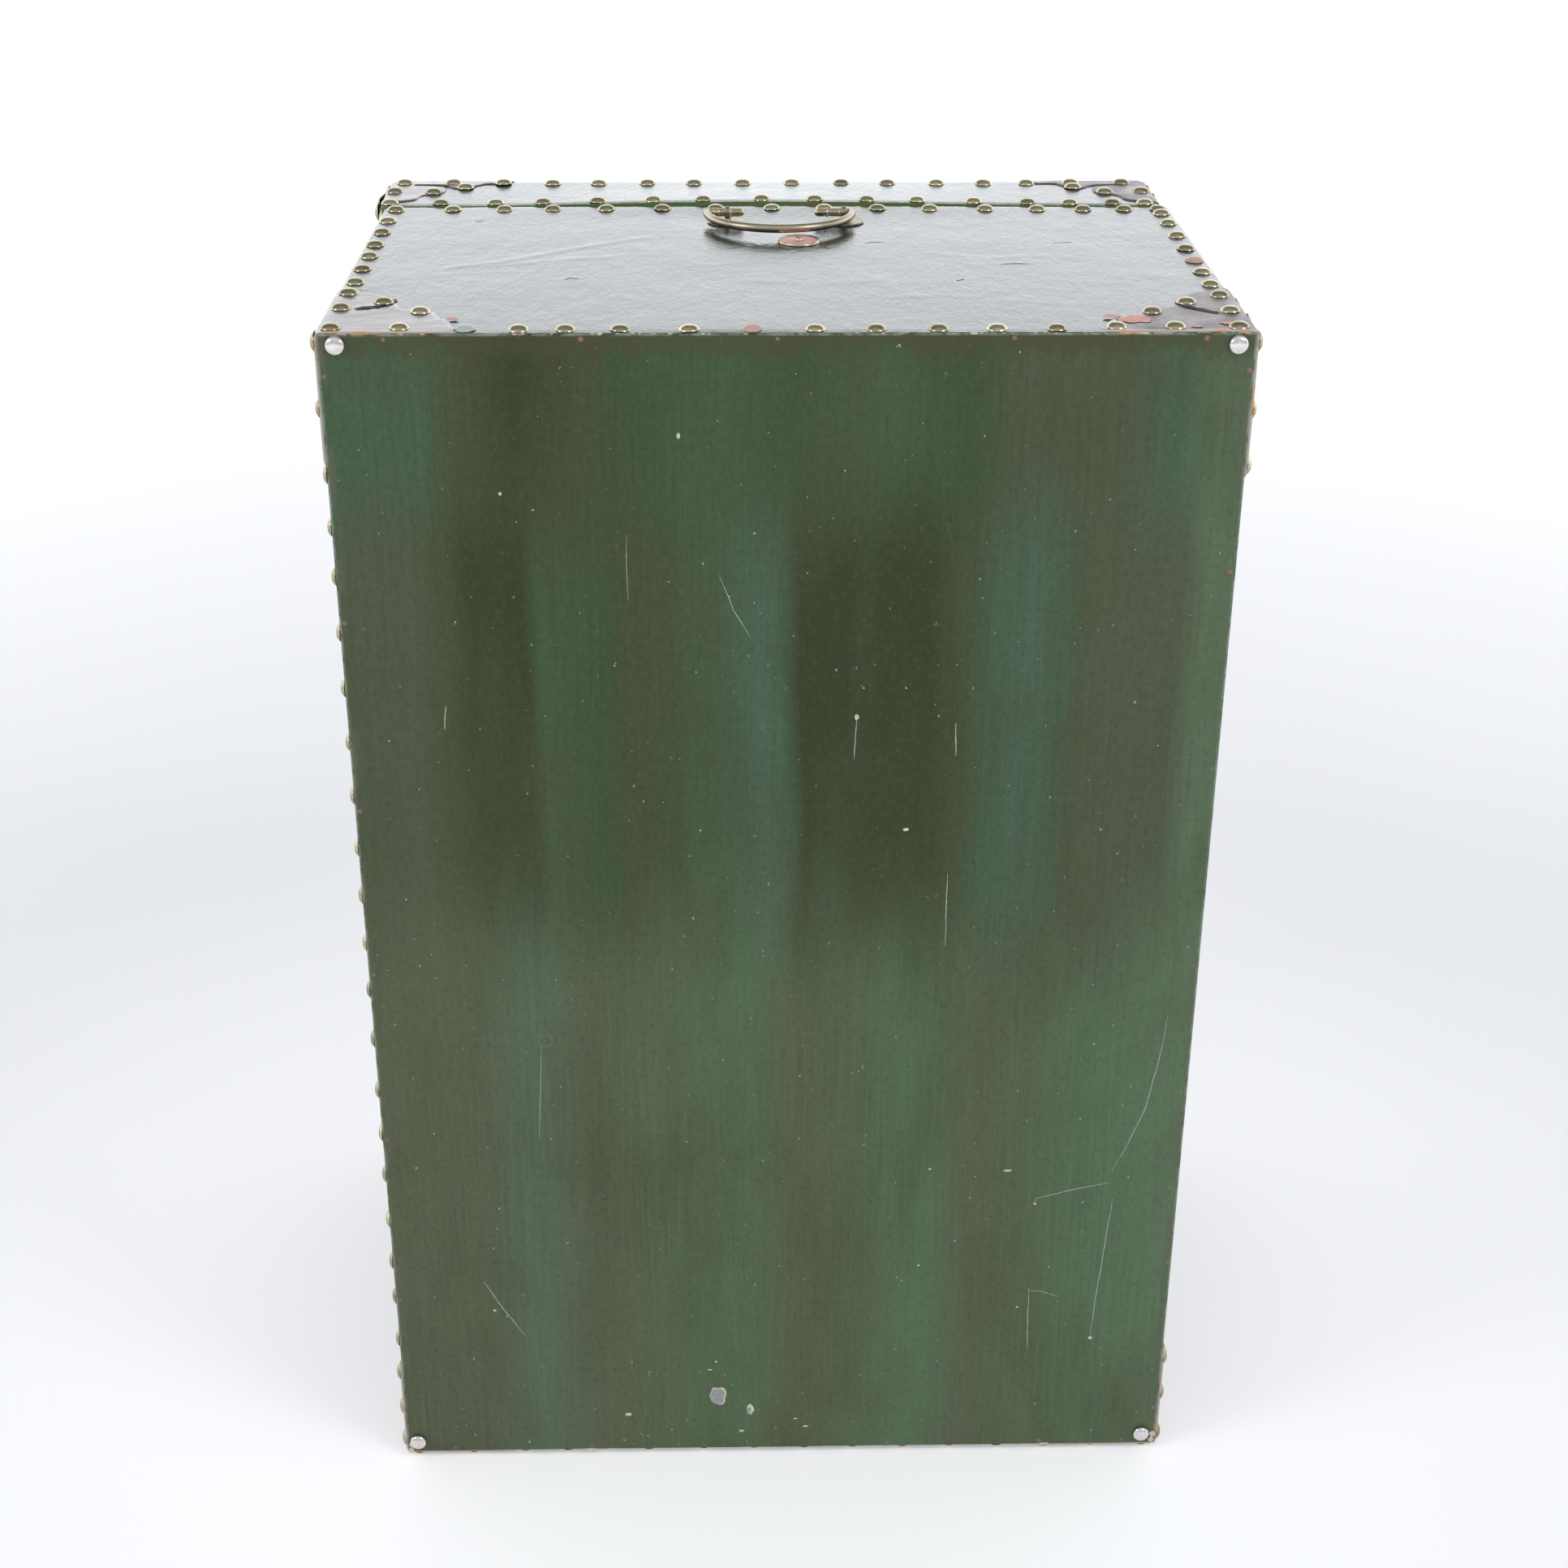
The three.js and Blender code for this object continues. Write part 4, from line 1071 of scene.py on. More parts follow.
def case_end_studs(name, side, seed, nodes=()):
    face = StudFace(name, "case", 2, side, seed, nodes)
    lower = side < 0
    paints = {} if lower else PAINTED
    flat = 0.6 if lower else 0.0
    for x in UPPER_FRONT:
        face.put(x, (FOOT_Y if lower else FRONT_Y) + face.shake(flat), paint=paints.get(x))
    for x in UPPER_SEAM:
        if lower and x in (UPPER_SEAM[0], UPPER_SEAM[-1]):
            face.put(math.copysign(RIGHT - STUD_INSET, x), 335, FOOT_HEIGHT)
        else:
            face.put(x, SEAM_Y + face.shake(flat))
    for y in UPPER_LOCK:
        face.put(-291.3, y)
    for y in UPPER_HINGE:
        face.put(290.2, y, paint=paints.get(y))
    for u, v in CASE_PATCH_STUDS:
        face.put(LEFT + u, v)
        face.put(RIGHT - u, v - 3)
    face.done()


def case_side_studs():
    lock = StudFace("studs_lock_side", "case", 0, -1, 13)
    plate_low, plate_high = node_box("escutcheon")
    for z in LOCK_SIDE_Z:
        lock.put(7.5, z + LOW)
        if not plate_low[2] - 9 < z + LOW < plate_high[2] + 9:
            lock.put(LOCK_SEAM_Y, z + LOW + lock.shake())
    for u, v in CASE_PATCH_STUDS:
        lock.put(v, HIGH - u)
        lock.put(v, LOW + u)
    lock.done()
    hinge = StudFace("studs_hinge_side", "case", 0, 1, 14)
    for z in HINGE_SIDE_Z:
        hinge.put(7.5, z + LOW)
    for z, inwards in ENDS:
        for y in (46, 84):
            hinge.put(y + hinge.shake(), z + inwards * STUD_INSET)
        for u, v in CASE_PATCH_STUDS:
            hinge.put(v, z + inwards * u)
    hinge.done()


def lid_end_studs(name, side, seed):
    face = StudFace(name, "lid", 2, side, seed)
    for row, y in ((LID_NEAR, LID_NEAR_Y), (LID_FAR, LID_FAR_Y)):
        for x in row:
            face.put(x + (0 if side > 0 else face.shake()), y + face.shake(0.5))
    face.put(LID_LEFT + 7.5, LID_MIDDLE_Y)
    face.put(LID_RIGHT - 9, LID_MIDDLE_Y)
    for u, v in LID_PATCH_STUDS:
        face.put(LID_LEFT + u, LID_FACE - v)
        face.put(LID_RIGHT - u, LID_FACE - v)
    face.done()


def lid_corner_studs(face):
    for z, inwards in ENDS:
        face.put(LID_MIDDLE_Y, z + inwards * STUD_INSET)
        for u, v in LID_PATCH_STUDS:
            face.put(LID_FACE - v, z + inwards * u)
    face.done()


def lid_side_studs():
    lock = StudFace("lid_studs_lock_side", "lid", 0, -1, 17)
    link_low, link_high = node_box("lock_link")
    for z in LOCK_SIDE_Z:
        if not link_low[2] - 18 < z + LOW < link_high[2] - 32:
            lock.put(LID_NEAR_Y + 1, z + LOW + lock.shake())
        lock.put(LID_FAR_Y, z + LOW + lock.shake())
    lid_corner_studs(lock)
    hinge = StudFace("lid_studs_hinge_side", "lid", 0, 1, 18)
    for z in HINGE_SIDE_Z:
        hinge.put(LID_FAR_Y, z + LOW)
    lid_corner_studs(hinge)


def lid_face_studs():
    nodes = [f"lid_stud_{a}_{b}" for a in ("upper", "lower") for b in ("lock", "hinge")]
    face = StudFace("lid_studs_face", "lid", 1, 1, 19, nodes)
    left, right = LID_LEFT + STUD_INSET, LID_RIGHT - STUD_INSET
    for z, inwards in ENDS:
        for x in LID_FAR:
            face.put(min(max(x, left), right), z + inwards * STUD_INSET)
    for z in LOCK_SIDE_Z[1:-1]:
        face.put(left, z + LOW + face.shake())
        face.put(right, z + LOW + face.shake())
    for z, inwards in ENDS:
        for u, v in stretched(LID_PATCH_STUDS):
            face.put(LID_LEFT + u, z + inwards * v)
            face.put(LID_RIGHT - u, z + inwards * v)
    face.done()


FOOT_NODES = [f"foot_stud_{a}_{b}" for a in ("front", "seam") for b in ("lock", "hinge")]
case_end_studs("studs_upper_end", 1, 11)
case_end_studs("studs_lower_end", -1, 12, FOOT_NODES)
case_side_studs()
lid_end_studs("lid_studs_upper_end", 1, 15)
lid_end_studs("lid_studs_lower_end", -1, 16)
lid_side_studs()
lid_face_studs()

# ---- glides, nails, scratches and chips on the bottom board ----------------------------
NAILS = (
    (-296, 887), (-296, 717), (-296, 576), (-296, 444), (-296, 301), (-296, 152), (296, 890), (296, 751),
    (296, 605), (296, 446), (296, 313.5), (296, 181), (296, 37), (-257, 911), (-132, 911), (-7, 911),
    (144, 911), (267, 911), (-262, 4), (-153, 4), (-63, 4), (84, 4), (206, 4), (272, 4),
)
SCRATCHES = (  # x and z along a scratch, above the case's lower edge, and its width
    (((280, 403), (277, 369), (269, 322), (258, 290), (248, 267)), 0.9),
    (((250, 241), (248, 215), (246, 184), (243, 145), (241, 110)), 0.9),
    (((248, 256), (220, 250), (192, 242), (191, 238)), 0.8),
    (((48, 645), (47.5, 630), (47, 614)), 1.0),
    (((116, 641), (117, 616)), 1.1),
    (((115, 524), (114.5, 495), (115, 464)), 1.0),
    (((-232, 656), (-234, 638)), 1.3),
    (((-231, 169), (-216, 140), (-201, 116)), 0.9),
    (((190, 157), (191, 130), (192, 97)), 0.9),
    (((190, 155), (200, 154), (213, 149)), 0.8),
    (((-45, 750), (-36, 725), (-24, 705)), 0.8),
    (((-106, 779), (-107, 755), (-106, 732)), 0.6),
    (((-178, 384), (-180, 350), (-183, 300)), 0.7),
)
CREAM_CHIPS = (  # x, z above the lower edge, half width, half height
    (-71, 847, 1.3, 1.8), (-188, 808, 1.2, 1.2), (84, 559, 2.2, 1.2), (48, 646, 1.4, 2.2),
    (169, 268, 3.2, 1.0), (182, 139, 1.0, 0.9), (-53, 88, 1.0, 0.8), (-123, 36, 2.6, 1.4),
    (-26, 40, 2.6, 5.2), (-33, 18, 2.0, 1.2), (18, 22, 2.4, 0.8), (-153, 0.6, 5.5, 0.9),
    (210, 0.8, 4.5, 1.3), (-58, 80, 2.2, 0.5), (10, 30, 1.6, 0.6), (-224, 141, 1.3, 0.9),
    (104, 180, 1.0, 0.8), (110, 270, 0.9, 0.8), (241, 108, 1.6, 1.6), (191, 237, 1.3, 0.8),
)
GREY_CHIPS = ((-52, 53, 5.6, 8.2), (-27, 39, 1.9, 3.6))
EDGE_CHIPS = (  # along the board's upper edge: x, half length, kind
    (-283, 5.0, "pink"), (-270, 11.0, "wood"), (-246, 2.5, "pink"), (-174, 2.0, "pink"), (218, 9.0, "wood"),
    (226, 4.0, "cream"), (240, 8.0, "pink"), (266, 5.0, "pink"), (291, 5.0, "wood"), (118, 3.0, "cream"),
    (-120, 2.0, "cream"), (60, 1.6, "pink"),
)
CORNER_CHIPS = ((-296.5, 8), (-297, 2), (296.5, 4), (297, 10))
# painted shade: each cut is a dark strip on the leather, standing in for the shadow inside the cut
CUT_SHADE_LINES = (  # x and y along a cut in the upper end's leather
    ((152, 172), (163, 174), (174, 173)), ((60, 232), (66, 236), (74, 235)),
    ((-150, 132), (-146, 136), (-140, 134)), ((-226, 300), (-220, 302)), ((118, 128), (123, 131)),
    ((-40, 262), (-30, 265)), ((196, 232), (210, 235)),
)
PINK_SPOTS = (  # x, y, half sizes and height above the upper end's leather
    (225, 25, 12, 7.5, PATCH + 0.02), (210, 33, 6, 3.5, PATCH - 0.1), (283, 16, 5, 3.0, PATCH + 0.12),
    (262, 8, 4, 1.6, PATCH + 0.12), (-216, 31, 4, 2.2, PATCH - 0.3), (208, 8, 3.5, 2.0, PATCH + 0.05),
)
GLIDE_SHIFT = {  # hand-nailed glides, a little off the CAD's even inset: along X and Z
    ("upper", "lock"): (2.5, 2.5), ("upper", "hinge"): (-2.5, 2.0),
    ("lower", "lock"): (-1.0, 1.5), ("lower", "hinge"): (-2.5, 1.5),
}
GLIDE_PROFILE = (
    (0, 0.35), (6.4, 0.35), (6.5, 0.7), (6.45, 1.6), (6.0, 2.7), (5.0, 3.6), (3.5, 4.15), (1.8, 4.42),
    (0, 4.48),
)
NAIL_PROFILE = ((0, -0.6), (2.1, -0.6), (2.2, 0.0), (1.9, 0.22), (1.0, 0.3), (0, 0.2))
STANDOFF = 0.02
FLAKE_SIDES = 22
TO_CAMERA = (0, -1, 0)  # out of the bottom board's face
OUT_OF_EDGE = (0, -0.75, 0.66)  # out of the board's upper edge


def board_spot(x, z, off=0.0):
    """A place on the board's dented face, z above the case's lower edge."""
    return x, dented([(x, 0, z + LOW)])[0] - off, z + LOW


def flake(shape, spot, normal, half_u, half_v, thick, seed):
    """A thin spot with a ragged outline, highest in its middle."""
    sides, under = FLAKE_SIDES, -0.25
    points = [(0.0, 0.0, thick)]
    for share, height in ((0.62, thick * 0.9), (1.0, thick * 0.2), (0.96, under)):
        for i in range(sides):
            c, s = on_circle(1, i, sides)
            ragged = 1 + 0.34 * noise.noise(Vector((c * 1.7, s * 1.7, seed)))
            ragged += 0.16 * noise.noise(Vector((c * 5, s * 5, seed + 9)))
            points.append((half_u * share * ragged * c, half_v * share * ragged * s, height))
    points.append((0.0, 0.0, under))
    faces = []
    for i in range(sides):
        j = (i + 1) % sides
        faces.append((0, 1 + i, 1 + j))
        for base in (1, 1 + sides):
            faces.append((base + i, base + sides + i, base + sides + j, base + j))
        faces.append((1 + 2 * sides + i, len(points) - 1, 1 + 2 * sides + j))
    shape.add(placed(points, spot, normal), faces)


def flattened(tube, centres, sides, axis, share, off):
    """A swept bar pressed flat along one axis, around the path's own height."""
    flat = np.array([tuple(p) for p in tube])
    middle = np.repeat(np.array(centres, float)[:, axis], sides)
    flat[:, axis] = middle + (flat[:, axis] - middle) * share + off
    return flat


def make_glides():
    for (zname, xname), (aside, up) in GLIDE_SHIFT.items():
        node = f"glide_{zname}_{xname}"
        middle = node_middle(node)
        shape = Shape().add(*lathe(GLIDE_PROFILE, 36, (middle[0] + aside, 0.0, middle[2] + up), TO_CAMERA))
        make_piece(f"dome_{zname}_{xname}", shape, NICKEL, "case", [node])


def make_nails():
    shape = Shape()
    for i, (x, z) in enumerate(NAILS):
        wide = 0.62 + 0.3 * ((i * 7) % 5) / 5
        scaled = [(r * wide, h) for r, h in NAIL_PROFILE]
        shape.add(*lathe(scaled, 14, board_spot(x, z), TO_CAMERA))
    make_piece("nail_heads", shape, NAIL_RUST, "case")


def make_scratches():
    shape, sides = Shape(), 6
    for index, (line, width) in enumerate(SCRATCHES):
        path = []
        for a, b in zip(line, line[1:]):
            steps = max(2, round(math.dist(a, b) / 3))
            path += [
                (a[0] + (b[0] - a[0]) * i / steps, a[1] + (b[1] - a[1]) * i / steps)
                for i in range(steps)
            ]
        path.append(line[-1])
        points, radii = [], []
        for i, (x, z) in enumerate(path):
            t = min(0.97, max(0.03, i / (len(path) - 1)))
            wobble = noise.noise(Vector((x / 14, z / 14, index))) * 0.6
            points.append((x + wobble, *board_spot(x, z)[1:]))
            ragged = 0.65 + 0.5 * abs(noise.noise(Vector((x / 6, z / 6, index + 5))))
            radii.append(max(0.06, width * 0.5 * ragged * math.sin(math.pi * t) ** 0.4))
        tube, faces = sweep(points, radii, sides)
        shape.add(flattened(tube, points, sides, 1, 0.16, -STANDOFF), faces)
    make_piece("scratches", shape, SCRATCH, "case")


def make_leather_marks():
    cuts, spots, sides = Shape(), Shape(), 6
    for line in CUT_SHADE_LINES:
        path = [(x, y, HIGH + 0.02) for x, y in line]
        path = catmull(path, 4) if len(path) > 2 else path
        radii = [0.42 * math.sin(math.pi * (k + 0.6) / (len(path) + 0.2)) + 0.05 for k in range(len(path))]
        tube, faces = sweep(path, radii, sides)
        level = [(0, 0, HIGH)] * len(path)
        cuts.add(flattened(tube, level, sides, 2, 0.2, 0.05), faces)
    for i, (x, y, u, v, rise) in enumerate(PINK_SPOTS):
        flake(spots, (x, y, HIGH + rise), (0, 0, 1), u, v, 0.05, i * 4.7)
    # the cut strips carry painted shade
    make_piece("leather_cut_shade", cuts, CUT_SHADE, "case")
    make_piece("patch_spots", spots, PINK, "case")


def make_chips():
    groups = {"cream": Shape(), "grey": Shape(), "pink": Shape(), "wood": Shape()}
    for i, (x, z, u, v) in enumerate(CREAM_CHIPS):
        flake(groups["cream"], board_spot(x, z, STANDOFF), TO_CAMERA, u, v, 0.10, i * 3.1)
    for i, (x, z, u, v) in enumerate(GREY_CHIPS):
        _, y, height = board_spot(x, z, STANDOFF)
        flake(groups["cream"], (x + 0.6, y, height + 0.6), TO_CAMERA, u * 1.16, v * 1.1, 0.05, i * 5.3 + 1)
        flake(groups["grey"], (x, y - 0.05, height), TO_CAMERA, u, v, 0.10, i * 5.3 + 1)
    for i, (x, half, kind) in enumerate(EDGE_CHIPS):
        flake(groups[kind], (x, 0.75, HIGH - 0.75), OUT_OF_EDGE, half, 0.7, 0.2, i * 2.3)
    rng = random.Random(5)
    for i in range(46):
        x = rng.uniform(LEFT + 4, RIGHT - 4)
        kind = rng.choice(("cream", "cream", "pink", "wood"))
        flake(groups[kind], (x, 0.8, HIGH - 0.7), OUT_OF_EDGE, rng.uniform(0.5, 1.8), 0.5, 0.15, i * 1.7)
    for x, z in CORNER_CHIPS:
        flake(groups["cream"], (x, 0.2, z + LOW), TO_CAMERA, 2.4, 3.0, 0.12, x + z)
    make_piece("chips_cream", groups["cream"], CREAM, "case")
    make_piece("chips_grey", groups["grey"], GREY, "case")
    make_piece("chips_pink", groups["pink"], PINK, "case")
    make_piece("chips_wood", groups["wood"], BARE_WOOD, "case")


make_glides()
make_nails()
make_scratches()
make_chips()
make_leather_marks()

# ---- bail handle -----------------------------------------------------------------------
BAR_RADIUS = 3.1
BAIL_WIDTH = 114.0
BAIL_REACH = 51.0
BAIL_END = 36.5
BAIL_BEND = 50.3
POST_HOLE_RADIUS = 3.25
POST_EYE_RADIUS = 4.3
POST_EYE_WIDTH = 4.0
POST_STEM_GAP = 0.7  # the stem ends inside the eye's wire
BAIL_X = node_middle("bail")[0]
_, PIVOT_Y, PIVOT_Z = node_middle("bail_finial_lock")
COLLAR = (  # thin enough to turn inside an eye
    (0, -1.3), (2.75, -1.3), (3.1, -0.9), (3.16, 0.0), (3.1, 0.9), (2.75, 1.3), (0, 1.3),
)
FINIAL_FOOT = ((0, 0), (3.2, 0), (3.4, 0.4), (3.4, 1.5), (2.7, 1.9))
FINIAL_TIP = ((2.6, 8.4), (2.2, 9.2), (1.3, 9.8), (0, 10.0))
ROSE = (
    (2.85, 0.3), (15.0, 0.3), (15.0, 0.75), (14.2, 1.25), (12.8, 1.0), (11.5, 1.15), (7.0, 1.6), (4.0, 1.95),
    (2.85, 2.0),
)
STRIKE_DISC = (
    (0, 0.3), (15.2, 0.3), (15.3, 0.8), (15.0, 1.5), (14.3, 2.0), (13.4, 1.75), (12.2, 1.25), (7.0, 0.95),
    (3.4, 0.95), (2.9, 1.3), (2.8, 2.4), (2.2, 3.2), (1.2, 3.7), (0, 3.85),
)
STRIKE_DISH = ((3.3, 1.0), (7.0, 1.0), (12.0, 1.28), (12.7, 1.5), (12.4, 0.9), (7.0, 0.6), (3.3, 0.6))
UPWARDS = (0, 0, 1)


def make_bail():
    half = BAIL_WIDTH / 2 - BAR_RADIUS
    end = [(BAIL_END, 0, 0), ((BAIL_END + BAIL_BEND) / 2, 0, 0), (BAIL_BEND, 0, 0), (half - 1.1, -1.3, 0)]
    other = [(-x, y, z) for x, y, z in reversed(end)]
    bow = []
    for i in range(13):
        t = 0.1 + (math.pi - 0.2) * i / 12
        bow.append((half * math.cos(t), -BAIL_REACH * math.sin(t), 0))
    path = [(x + BAIL_X, y + PIVOT_Y, z + PIVOT_Z) for x, y, z in catmull(end + bow + other, 5)]
    reach = [min(1.0, abs(y - PIVOT_Y) / BAIL_REACH) for _, y, _ in path]
    shape = Shape().add(*sweep(path, [BAR_RADIUS * (0.93 + 0.07 * far) for far in reach], 24), 0.55)
    for side in (-1, 1):
        for place in (BAIL_BEND - 1.2, BAIL_BEND - 4.8):
            shape.add(*lathe(COLLAR, 24, (BAIL_X + side * place, PIVOT_Y, PIVOT_Z), (-side, 0, 0)), 0.75)
    make_piece("bail_bar", shape, BAIL_BRASS, "bail", ["bail"])
    profile = list(FINIAL_FOOT)
    for i in range(4):
        base = 2.2 + i * 1.5
        profile += [(2.5, base), (3.3, base + 0.35), (3.3, base + 0.95), (2.5, base + 1.3)]
    profile += FINIAL_TIP
    for side, name in ((-1, "lock"), (1, "hinge")):
        start = (BAIL_X + side * (BAIL_END - 0.3), PIVOT_Y, PIVOT_Z)
        # tone 0.95 makes the finials lighter brass than the bar, partly as a painted highlight
        shape = Shape().add(*lathe(profile, 28, start, (-side, 0, 0)), 0.95)
        make_piece(f"finial_{name}", shape, STUD_BRASS, "bail", [f"bail_finial_{name}"])


def ring_solid(centre, axis, inner, outer, width):
    """A ring with rounded rims, about an axis through its centre."""
    edge, half = 0.55, width / 2
    section = [(inner, edge - half), (inner + edge, -half), (outer - edge, -half), (outer, edge - half),
               (outer, half - edge), (outer - edge, half), (inner + edge, half), (inner, half - edge)]
    return turned_ring(section, 36, centre, axis)


def make_mounts():
    top = PIVOT_Z - POST_HOLE_RADIUS - POST_STEM_GAP
    for name in ("lock", "hinge"):
        foot = node_box(f"eye_post_{name}")[0][2] - top
        x = node_middle(f"eye_post_{name}")[0]
        stem = [(0, foot), (2.45, foot), (2.5, -5.0), (2.5, -2.4), (2.9, -1.2), (2.6, 0.0), (0, 0.0)]
        eye = ring_solid((x, PIVOT_Y, PIVOT_Z), (1, 0, 0), POST_HOLE_RADIUS, POST_EYE_RADIUS, POST_EYE_WIDTH)
        shape = Shape().add(*eye, 0.15).add(*lathe(stem, 20, (x, PIVOT_Y, top), UPWARDS), 0.45)
        make_piece(f"eye_{name}", shape, BAIL_BRASS, "case", [f"eye_post_{name}"])
        shape = Shape().add(*turned_ring(ROSE, 40, (x, PIVOT_Y, HIGH), UPWARDS), 0.7)
        make_piece(f"rose_{name}", shape, PLATE_BRASS, "case", [f"rosette_{name}"])
    centre = (*node_middle("strike_plate")[:2], HIGH)
    shape = Shape().add(*lathe(STRIKE_DISC, 48, centre, UPWARDS), 1.1)
    make_piece("strike_disc", shape, BAIL_BRASS, "case", ["strike_plate"])
    # the dish's pink is partly salmon paint and partly a painted reflection of the bail above it
    shape = Shape().add(*turned_ring(STRIKE_DISH, 48, centre, UPWARDS))
    make_piece("strike_dish", shape, DISH_PINK, "case")


make_bail()
make_mounts()

# ---- screws and small hardware ---------------------------------------------------------
SCREW_SHARES = (0.16, 0.5, 0.84)  # along a hinge leaf
CASE_LEAF_Y = 351.2
LID_LEAF_Y = 351.8
TRIM_RINGS = ((31.0, 33.6, 1.1), (24.5, 26.0, 0.8))  # inner and outer radius, relative width
TRIM_SCREW_RADIUS = 28.6


def screw(shape, centre, normal, radius, turn, high):
    """A slotted head made of two half discs."""
    slot, count, under = radius * 0.14, 10, -0.3
    for side in (-1, 1):
        arc = [on_circle(1, i, 2 * count) for i in range(count + 1)]
        outline = [(radius * c, side * (slot + (radius - slot) * s)) for c, s in arc][::side]
        n = len(outline)
        points = [(u, v, z) for z in (under, high * 0.55) for u, v in outline]
        points += [(u * 0.8, v * 0.8 + side * slot * 0.2, high) for u, v in outline]
        faces = [tuple(reversed(range(n))), tuple(range(2 * n, 3 * n))]
        faces += [quad(ring * n, (ring + 1) * n, i, (i + 1) % n) for ring in (0, 1) for i in range(n)]
        shape.add(placed(points, centre, normal, turn), faces, 0.4)
    core = ((0, under), (radius * 0.95, under), (radius * 0.95, high * 0.2), (0, high * 0.2))
    shape.add(*lathe(core, 20, centre, normal), 0.3)


def make_hinge_screws():
    for which in ("upper", "lower"):
        low, high = node_box(f"hinge_{which}_case_leaf")
        case_shape, lid_shape = Shape(), Shape()
        for i, share in enumerate(SCREW_SHARES):
            x, z = low[0] + 8, low[2] + (high[2] - low[2]) * share
            screw(case_shape, (x, CASE_LEAF_Y, z), (0, 1, 0), 2.6, 0.4 + i, 0.25)
            screw(lid_shape, (x, LID_LEAF_Y, z), (0, -1, 0), 2.6, 1.1 + i, 0.25)
        make_piece(f"hinge_{which}_case_screws", case_shape, PLATE_BRASS, "case")
        make_piece(f"hinge_{which}_lid_screws", lid_shape, PLATE_BRASS, "lid")


def make_escutcheon_details():
    centre = node_middle("escutcheon")
    centre[0] = node_box("escutcheon")[0][0]
    shape = Shape()
    for inner, outer, raised in TRIM_RINGS:
        ring = ring_solid(centre + np.array([0.1, 0, 0]), (-1, 0, 0), inner, outer, 1.6 * raised)
        shape.add(*ring, 0.6)
    for k in range(4):
        a = math.pi / 4 + k * math.pi / 2
        place = centre + np.array([0.0, TRIM_SCREW_RADIUS * math.cos(a), TRIM_SCREW_RADIUS * math.sin(a)])
        screw(shape, place, (-1, 0, 0), 1.7, k * 0.9, 0.6)
    make_piece("escutcheon_trim", shape, PLATE_BRASS, "case")


make_hinge_screws()
make_escutcheon_details()

# ---- floor, light and camera -----------------------------------------------------------
FLOOR_REACH = 14.0  # metres
FLOOR_RINGS = 26
FRONT_GLOW = 0.70
OVERHEAD_GLOW = 0.85
SKY_GLOW = 0.36
BACK_GLOW = 2.2
LAMP_TARGET = Vector((0.0, 0.0, 0.45))
CAMERA_PLACE = (-0.0270, -1.7192, 1.3449)
CAMERA_TURN = (1.3810, 26.3974, 0.2736)  # yaw, pitch and roll in degrees
CAMERA_LENS = 55.445


def make_floor():
    rings = [(FLOOR_REACH * (r / FLOOR_RINGS) ** 2, 0.0) for r in range(FLOOR_RINGS + 1)]
    points, faces = lathe(rings, 96, (0, 0, 0), UPWARDS)
    mesh = bpy.data.meshes.new("floor")
    mesh.from_pydata(points.tolist(), [], [face[::-1] for face in faces])
    net = Net("floor_paper")
    colour = net.mix(net.noise(1.6, 3.0, 0.5, 1.0), (0.80, 0.80, 0.82), (0.84, 0.84, 0.855))
    length = net.node("VectorMath")
    length.operation = "LENGTH"
    net.feed(length.inputs[0], net.place)
    # painted light: the floor glows, most under the object, where it lightens the floor's shade, and more
    # again far off, where it whitens into the backdrop
    far = net.spread(length.outputs["Value"], 0.8, 4.5, 0.12, 0.62, smooth=True)
    near = net.spread(length.outputs["Value"], 0.3, 1.1, 0.18, 0.0, smooth=True)
    net.shader.inputs["Emission Color"].default_value = (1.0, 1.0, 1.0, 1.0)
    net.feed(net.shader.inputs["Emission Strength"], net.math("ADD", far, near))
    mesh.materials.append(net.finish(colour, 0.9, IOR=1.2))
    new_object("floor", mesh)


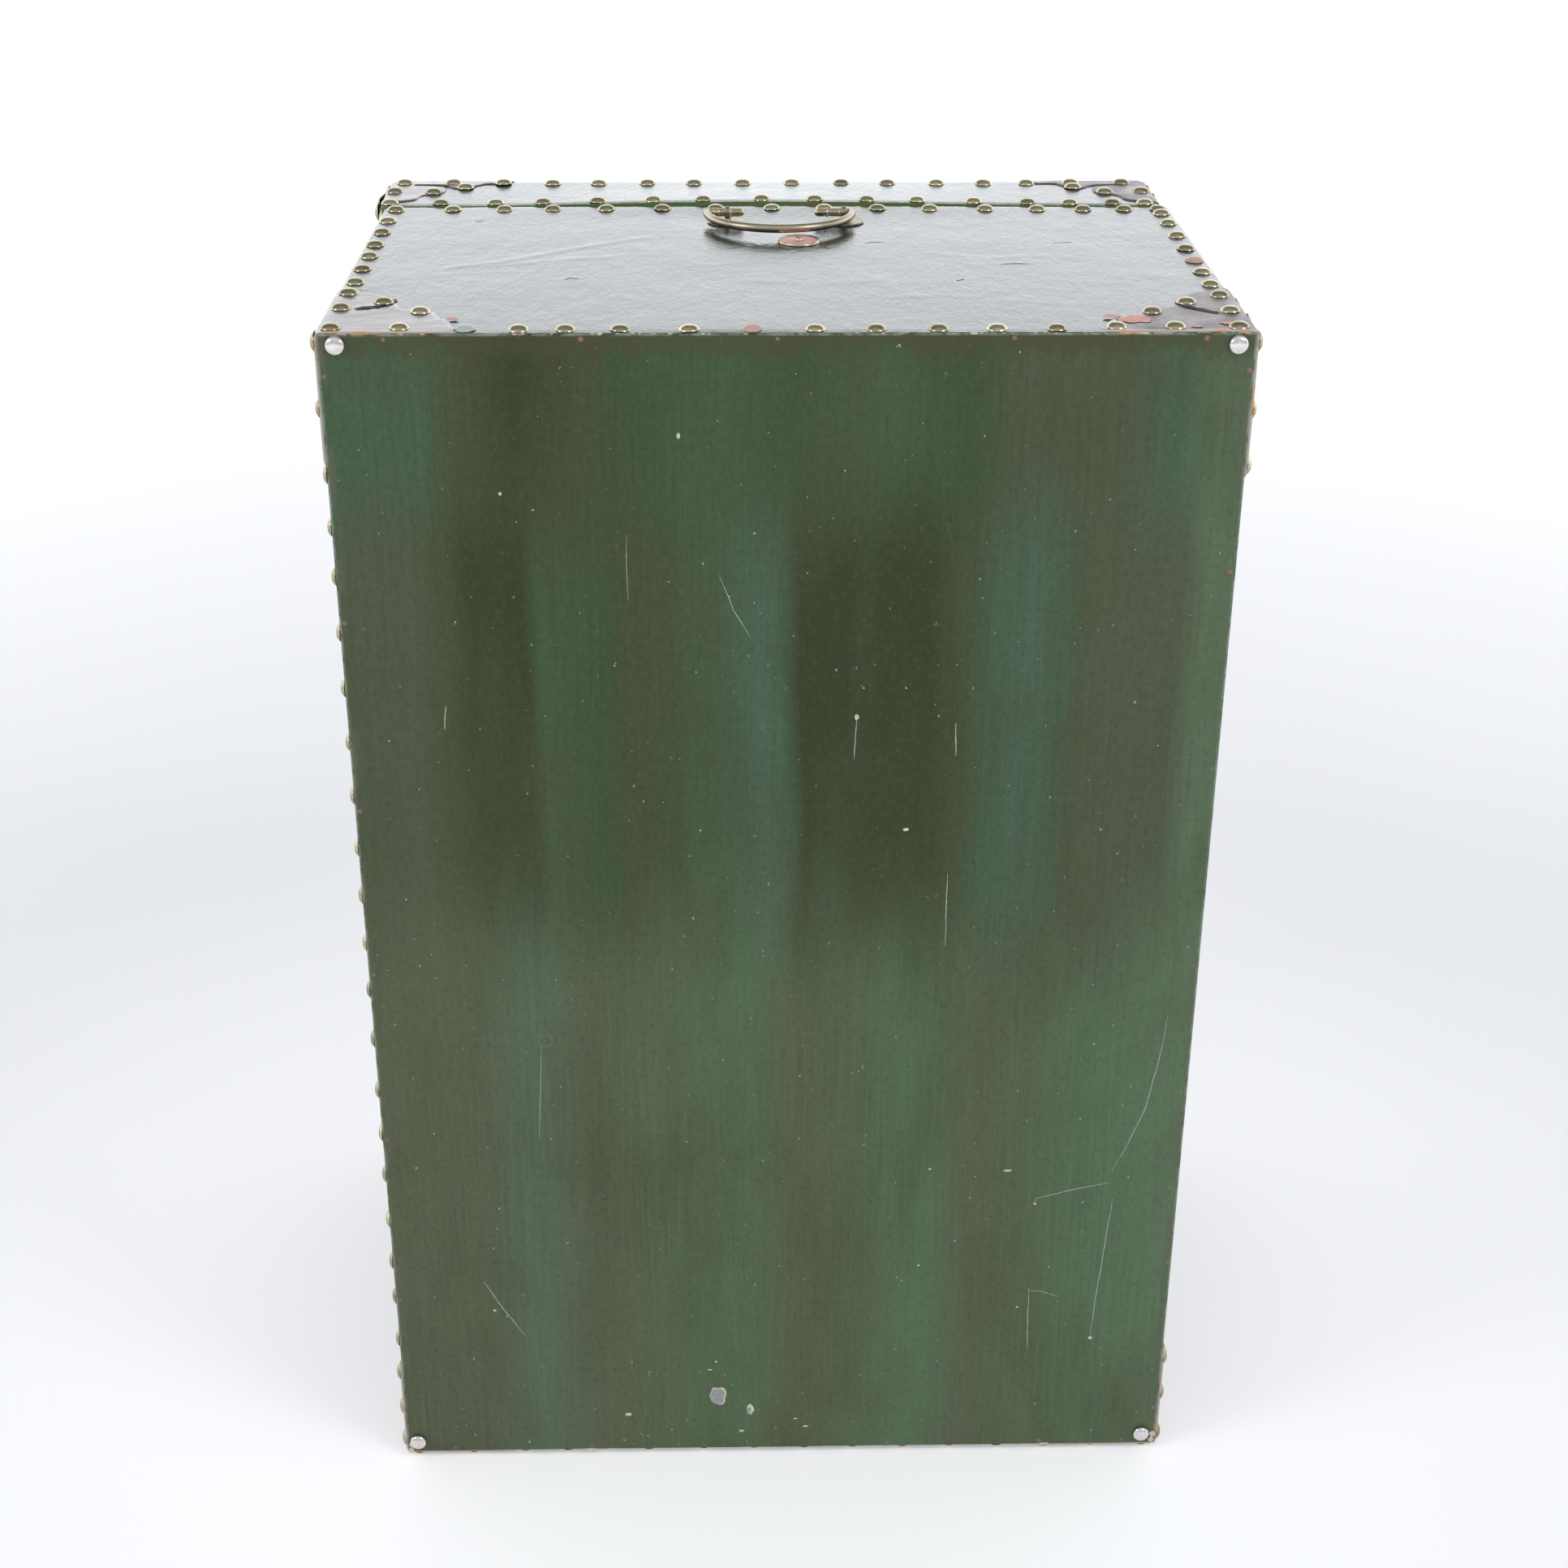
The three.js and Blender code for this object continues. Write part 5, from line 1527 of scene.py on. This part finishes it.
def make_world():
    """Soft light all round: brightest behind and above, dim on the camera's side."""
    world = bpy.data.worlds.new("studio")
    bpy.context.scene.world = world
    world.use_nodes = True
    tree = world.node_tree
    parts = tree.nodes.new("ShaderNodeSeparateXYZ")
    tree.links.new(tree.nodes.new("ShaderNodeTexCoord").outputs["Generated"], parts.inputs[0])

    def spread(letter, *numbers):
        node = tree.nodes.new("ShaderNodeMapRange")
        node.interpolation_type = "SMOOTHSTEP"
        tree.links.new(parts.outputs[letter], node.inputs[0])
        for socket, number in zip(list(node.inputs)[1:5], numbers):
            socket.default_value = number
        return node.outputs[0]

    mix = tree.nodes.new("ShaderNodeMix")
    tree.links.new(spread("Z", 0.34, 0.64, 0.0, 1.0), mix.inputs[0])
    tree.links.new(spread("Y", -0.45, 0.55, FRONT_GLOW, BACK_GLOW), mix.inputs[2])
    tree.links.new(spread("Y", -0.55, 0.35, OVERHEAD_GLOW, SKY_GLOW), mix.inputs[3])
    background = tree.nodes["Background"]
    background.inputs["Color"].default_value = (0.965, 0.99, 1.025, 1.0)
    tree.links.new(mix.outputs[0], background.inputs["Strength"])


def make_light(name, place, size, power):
    lamp = bpy.data.lights.new(name, "AREA")
    lamp.shape = "SQUARE"
    lamp.size = size
    lamp.energy = power
    obj = new_object(name, lamp)
    obj.location = place
    obj.rotation_euler = (LAMP_TARGET - Vector(place)).to_track_quat("-Z", "Y").to_euler()


def make_camera():
    yaw, pitch, roll = (math.radians(v) for v in CAMERA_TURN)
    data = bpy.data.cameras.new("camera")
    data.sensor_width = 36.0
    data.lens = CAMERA_LENS
    camera = new_object("camera", data)
    turn = Matrix.Rotation(-yaw, 4, "Z") @ Matrix.Rotation(math.pi / 2 - pitch, 4, "X")
    camera.matrix_world = Matrix.Translation(CAMERA_PLACE) @ turn @ Matrix.Rotation(roll, 4, "Z")
    bpy.context.scene.camera = camera


make_floor()
make_world()
make_light("soft_box_left", (-2.6, -1.4, 2.5), 1.2, 22.0)
make_light("soft_box_right", (2.1, -1.7, 2.7), 1.2, 22.0)
make_camera()
bpy.context.scene.view_settings.view_transform = "Standard"

bpy.context.view_layer.update()
